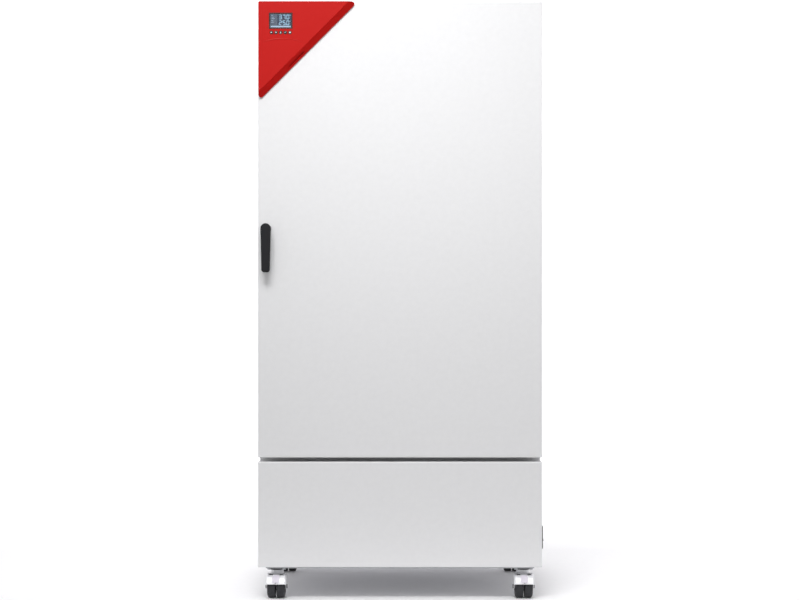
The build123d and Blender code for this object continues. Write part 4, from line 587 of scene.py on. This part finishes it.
def make_button_symbols():
    """White generic symbols on the five buttons: arrows, a disc and a tick. Their white ink carries a faint
    painted glow.
    """
    # Painted glow: the printed white ink is given a faint emission of its own, as if it were lit.
    ink_with_painted_glow = surface("white_symbol_ink_painted_glow", (0.88, 0.88, 0.88), 0.45, grain=800, emission=0.08)
    size, ink_lift, ink_thickness = 0.0026, 0.00006, 0.00012
    disc = [(size * math.cos(2 * math.pi * s / 24), size * math.sin(2 * math.pi * s / 24)) for s in range(24)]
    outlines = [
        [[(-size, size * 0.75), (-size, -size * 0.75), (size * 0.9, 0)]],
        [[(-size, size * 0.6), (size, size * 0.6), (0, -size)]],
        [[(-size, -size * 0.6), (0, size), (size, -size * 0.6)]],
        [[(-size, 0.1 * size), (-size * 0.35, -size * 0.7), (-size * 0.15, -size * 0.15),
          (-size * 0.6, size * 0.5)],
         [(-size * 0.35, -size * 0.7), (size, size * 0.7), (size * 0.7, size * 0.95),
          (-size * 0.15, -size * 0.15)]],
        [disc],
    ]
    for number, shapes in enumerate(outlines, start=1):
        low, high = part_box(f"button_{number}")
        middle_x, middle_z = (low.x + high.x) / 2, (low.z + high.z) / 2
        mesh = bmesh.new()
        for points in shapes:
            placed = [(middle_x + x, middle_z + z) for x, z in points]
            flat_shape(mesh, placed, low.y - ink_lift, ink_thickness)
        add_piece(mesh, f"button_{number}_symbol", f"button_{number}", "button_black", ink_with_painted_glow, smooth=False)


def make_panel_arc():
    """Shallow raised arc below the buttons, tapering to both ends."""
    low, _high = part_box("control_panel")
    window_low, window_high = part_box("display_window")
    offset, drop, sink = 0.006, 0.0335, 0.00005
    half_span, sagitta, width, rise = 0.064, 0.0105, 0.0016, 0.0004
    middle_x = (window_low.x + window_high.x) / 2 + offset
    crown_z = window_low.z - drop
    radius = (half_span ** 2 + sagitta ** 2) / (2 * sagitta)
    spread = math.asin(half_span / radius)
    steps = 48
    rings = []
    mesh = bmesh.new()
    for step in range(steps + 1):
        share = step / steps
        angle = -spread + 2 * spread * share
        taper = math.sin(math.pi * share) ** 0.5 * 0.9 + 0.1
        ring = []
        for out, level in ((-1.0, 0.0), (-0.45, 1.0), (0.45, 1.0), (1.0, 0.0)):
            reach = radius + out * width * taper
            x = middle_x + reach * math.sin(angle)
            z = crown_z - radius + reach * math.cos(angle)
            ring.append(mesh.verts.new((x, low.y - rise * level * taper + sink * (1 - level), z)))
        rings.append(ring)
    for before, after in zip(rings, rings[1:]):
        for index in range(3):
            mesh.faces.new((before[index], before[index + 1], after[index + 1], after[index]))
        mesh.faces.new((before[3], before[0], after[0], after[3]))
    mesh.faces.new(rings[0])
    mesh.faces.new(list(reversed(rings[-1])))
    add_piece(mesh, "panel_arc", "outer_door", "red_plastic")


# Screws, bolts and fittings.


def make_hinge_screws():
    """Countersunk screws through the hinge leaves, and through the brackets and plates of the glass door."""
    leaf_half_height, leaf_thickness, leaf_columns, leaf_row = 0.039, 0.003, (0.010, 0.028), 0.026
    leaf_screw_radius, leaf_screw_rise = 0.0034, 0.0009
    plate_end, plate_face, plate_columns = 0.012, 0.0063, (0.008, 0.019)
    bracket_x, bracket_face, bracket_row = 0.373, 0.0025, 0.012
    glass_screw_radius, glass_screw_rise = 0.0028, 0.0008
    low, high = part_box("door_hinge_leaves")
    lowest, highest = low.z + leaf_half_height, high.z - leaf_half_height
    heights = [lowest, (lowest + highest) / 2, highest]
    door_side_y = low.y + leaf_thickness
    cabinet_side_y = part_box("outer_housing")[0].y - leaf_thickness
    for node, body, side, face_y in (("door_hinge_leaves", "outer_door", 1, door_side_y),
                                     ("cabinet_hinge_leaves", "cabinet", -1, cabinet_side_y)):
        places = [(low.x + column, face_y, z + rise) for z in heights for column in leaf_columns
                  for rise in (-leaf_row, leaf_row)]
        screws(f"{node}_screws", body, places, (0, side, 0), leaf_screw_radius, leaf_screw_rise)
    low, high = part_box("glass_hinge_plates")
    plate_heights = (low.z + plate_end, high.z - plate_end)
    places = [(low.x + column, low.y + plate_face, z) for z in plate_heights for column in plate_columns]
    screws("glass_plate_screws", "inner_door", places, (0, -1, 0), glass_screw_radius, glass_screw_rise)
    places = [(bracket_x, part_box("front_frame")[0].y - bracket_face, z + rise) for z in plate_heights
              for rise in (-bracket_row, bracket_row)]
    screws("glass_bracket_screws", "cabinet", places, (0, -1, 0), glass_screw_radius, glass_screw_rise)


def make_castor_fittings():
    """Dark dust covers round the swivel races and hexagon bolts in the top plates."""
    _plate_low, plate_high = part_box("castor_plates")
    plate_thickness, bolt_half_width, bolt_half_depth = 0.003, 0.025, 0.029
    round_segments, bolt_segments, bolt_sides = 48, 24, 6
    cover = [(0.0236, 0.0), (0.0252, 0.0), (0.0262, 0.0014), (0.0262, 0.0050), (0.0246, 0.0068),
             (0.0236, 0.0068)]
    washer = [(0, 0), (0.0062, 0.0), (0.0062, 0.0009), (0.0058, 0.0012)]
    bolt_head = [(0.0056, 0.0008), (0.0056, 0.0044), (0.0048, 0.0050), (0, 0.0050)]
    covers = bmesh.new()
    bolts = bmesh.new()
    for name in ("front_left", "front_right", "rear_left", "rear_right"):
        joint = next(j for j in frame["joints"] if j["name"] == f"{name}_swivel")
        x, y, _z = joint["pos_m"]
        top = plate_high.z - plate_thickness
        lathe(covers, cover, (x, y, top), (0, 0, -1), round_segments)
        for step_x in (-bolt_half_width, bolt_half_width):
            for step_y in (-bolt_half_depth, bolt_half_depth):
                place = (x + step_x, y + step_y, top)
                lathe(bolts, washer, place, (0, 0, -1), bolt_segments)
                lathe(bolts, bolt_head, place, (0, 0, -1), bolt_sides)
    add_piece(covers, "castor_race_covers", "cabinet", "dark_plastic")
    add_piece(bolts, "castor_plate_bolts", "cabinet", "zinc_plate", smooth=False)


def make_pedal_ribs():
    """Grip ribs across the treads of the two brake pedals."""
    tread_radius, rib_rise, half_width, half_thickness, soft_edge = 0.0466, 0.0007, 0.0065, 0.0006, 0.0003
    for name in ("front_left", "front_right"):
        joint = next(j for j in frame["joints"] if j["name"] == f"{name}_wheel_spin")
        axle = Vector(joint["pos_m"])
        mesh = bmesh.new()
        for degrees in (31, 37, 43, 49):
            turn = Matrix.Translation(axle) @ Matrix.Rotation(-math.radians(degrees), 4, "X")
            made = bmesh.ops.create_cube(mesh, size=1.0)
            bmesh.ops.scale(mesh, vec=(2 * half_width, 2 * rib_rise, 2 * half_thickness), verts=made["verts"])
            bmesh.ops.translate(mesh, vec=(0, -tread_radius, 0), verts=made["verts"])
            bmesh.ops.transform(mesh, matrix=turn, verts=made["verts"])
        edges = list(mesh.edges)
        bmesh.ops.bevel(mesh, geom=edges, offset=soft_edge, segments=2, affect="EDGES", profile=0.5)
        add_piece(mesh, f"{name}_pedal_ribs", f"{name}_pedal", "pedal_plastic", smooth=False)


def make_rear_fittings():
    """Screws round the rear panel and the lower grille."""
    low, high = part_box("rear_panel")
    edge, rows, head_radius, head_rise = 0.014, 6, 0.0042, 0.0016
    columns = [low.x + edge, (low.x + high.x) / 2, high.x - edge]
    places = []
    for row in range(rows):
        z = low.z + edge + (high.z - low.z - 2 * edge) * row / (rows - 1)
        places += [(columns[0], high.y, z), (columns[2], high.y, z)]
    places += [(columns[1], high.y, low.z + edge), (columns[1], high.y, high.z - edge)]
    screws("rear_panel_screws", "cabinet", places, (0, 1, 0), head_radius, head_rise, "zinc_plate")
    low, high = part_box("rear_grille")
    places = [(x, high.y, z) for x in (low.x + edge, (low.x + high.x) / 2, high.x - edge)
              for z in (low.z + edge, high.z - edge)]
    screws("rear_grille_screws", "cabinet", places, (0, 1, 0), head_radius, head_rise, "zinc_plate")


def make_refrigerant_lines():
    """Copper lines from the compressor to the condenser and up through the deck."""
    copper = surface("copper_tube", (0.72, 0.36, 0.22), 0.3, metallic=1.0, variation=0.15, grain=60)
    shell_low, shell_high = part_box("compressor")
    _coil_low, coil_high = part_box("condenser_coil")
    middle = (shell_low + shell_high) / 2
    tube_radius, tube_roundness, coil_y, coil_z = 0.0048, 4, 0.365, 0.335
    routes = {
        "discharge_line": ((middle.x - 0.083, middle.y, 0.20), (middle.x - 0.105, middle.y, 0.20),
                           (middle.x - 0.125, middle.y + 0.03, 0.24), (0.060, 0.26, coil_z),
                           (0.050, coil_y, coil_z), (coil_high.x, coil_y, coil_z)),
        "suction_line": ((middle.x, middle.y + 0.083, 0.22), (middle.x, middle.y + 0.105, 0.22),
                         (middle.x + 0.02, middle.y + 0.12, 0.30), (middle.x + 0.03, middle.y + 0.11, 0.40),
                         (middle.x + 0.03, middle.y + 0.11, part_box("machine_deck")[0].z)),
    }
    for name, route in routes.items():
        curve = bpy.data.curves.new(name, "CURVE")
        curve.dimensions = "3D"
        curve.bevel_depth = tube_radius
        curve.bevel_resolution = tube_roundness
        spline = curve.splines.new("NURBS")
        spline.points.add(len(route) - 1)
        for point, place in zip(spline.points, route):
            point.co = (*place, 1.0)
        spline.order_u = 3
        spline.use_endpoint_u = True
        piece = bpy.data.objects.new(name, curve)
        bpy.context.scene.collection.objects.link(piece)
        curve.materials.append(copper)
        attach(piece, "cabinet")


def make_glass_fittings():
    """Knurled grip band on the glass door's knob."""
    low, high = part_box("glass_door_knob")
    middle = (low + high) / 2
    mesh = bmesh.new()
    ridges, ridge_circle, ridge_size, band_middle = 30, 0.01285, (0.0005, 0.0064, 0.0012), 0.0062
    for ridge in range(ridges):
        angle = 2 * math.pi * ridge / ridges
        place = (middle.x + ridge_circle * math.cos(angle), low.y + band_middle,
                 middle.z + ridge_circle * math.sin(angle))
        turn = Matrix.Translation(place) @ Matrix.Rotation(-angle, 4, "Y")
        made = bmesh.ops.create_cube(mesh, size=1.0)
        bmesh.ops.scale(mesh, vec=ridge_size, verts=made["verts"])
        bmesh.ops.transform(mesh, matrix=turn, verts=made["verts"])
    add_piece(mesh, "glass_knob_ridges", "inner_door", "black_plastic", smooth=False)


def make_cover_screws():
    """Screws in the lower cover's side returns."""
    low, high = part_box("lower_front_cover")
    edge, heights, head_radius, head_rise = 0.014, (0.045, 0.1715, 0.298), 0.0038, 0.0014
    for name, side, x in (("left", -1, low.x), ("right", 1, high.x)):
        places = [(x, high.y - edge, low.z + height) for height in heights]
        screws(f"lower_cover_screws_{name}", "cabinet", places, (side, 0, 0), head_radius, head_rise,
               "zinc_plate")


make_door_gasket()
make_glass_seal()
make_port_plug()
make_screen()
make_button_symbols()
make_panel_arc()
make_hinge_screws()
make_castor_fittings()
make_pedal_ribs()
make_rear_fittings()
make_refrigerant_lines()
make_glass_fittings()
make_cover_screws()
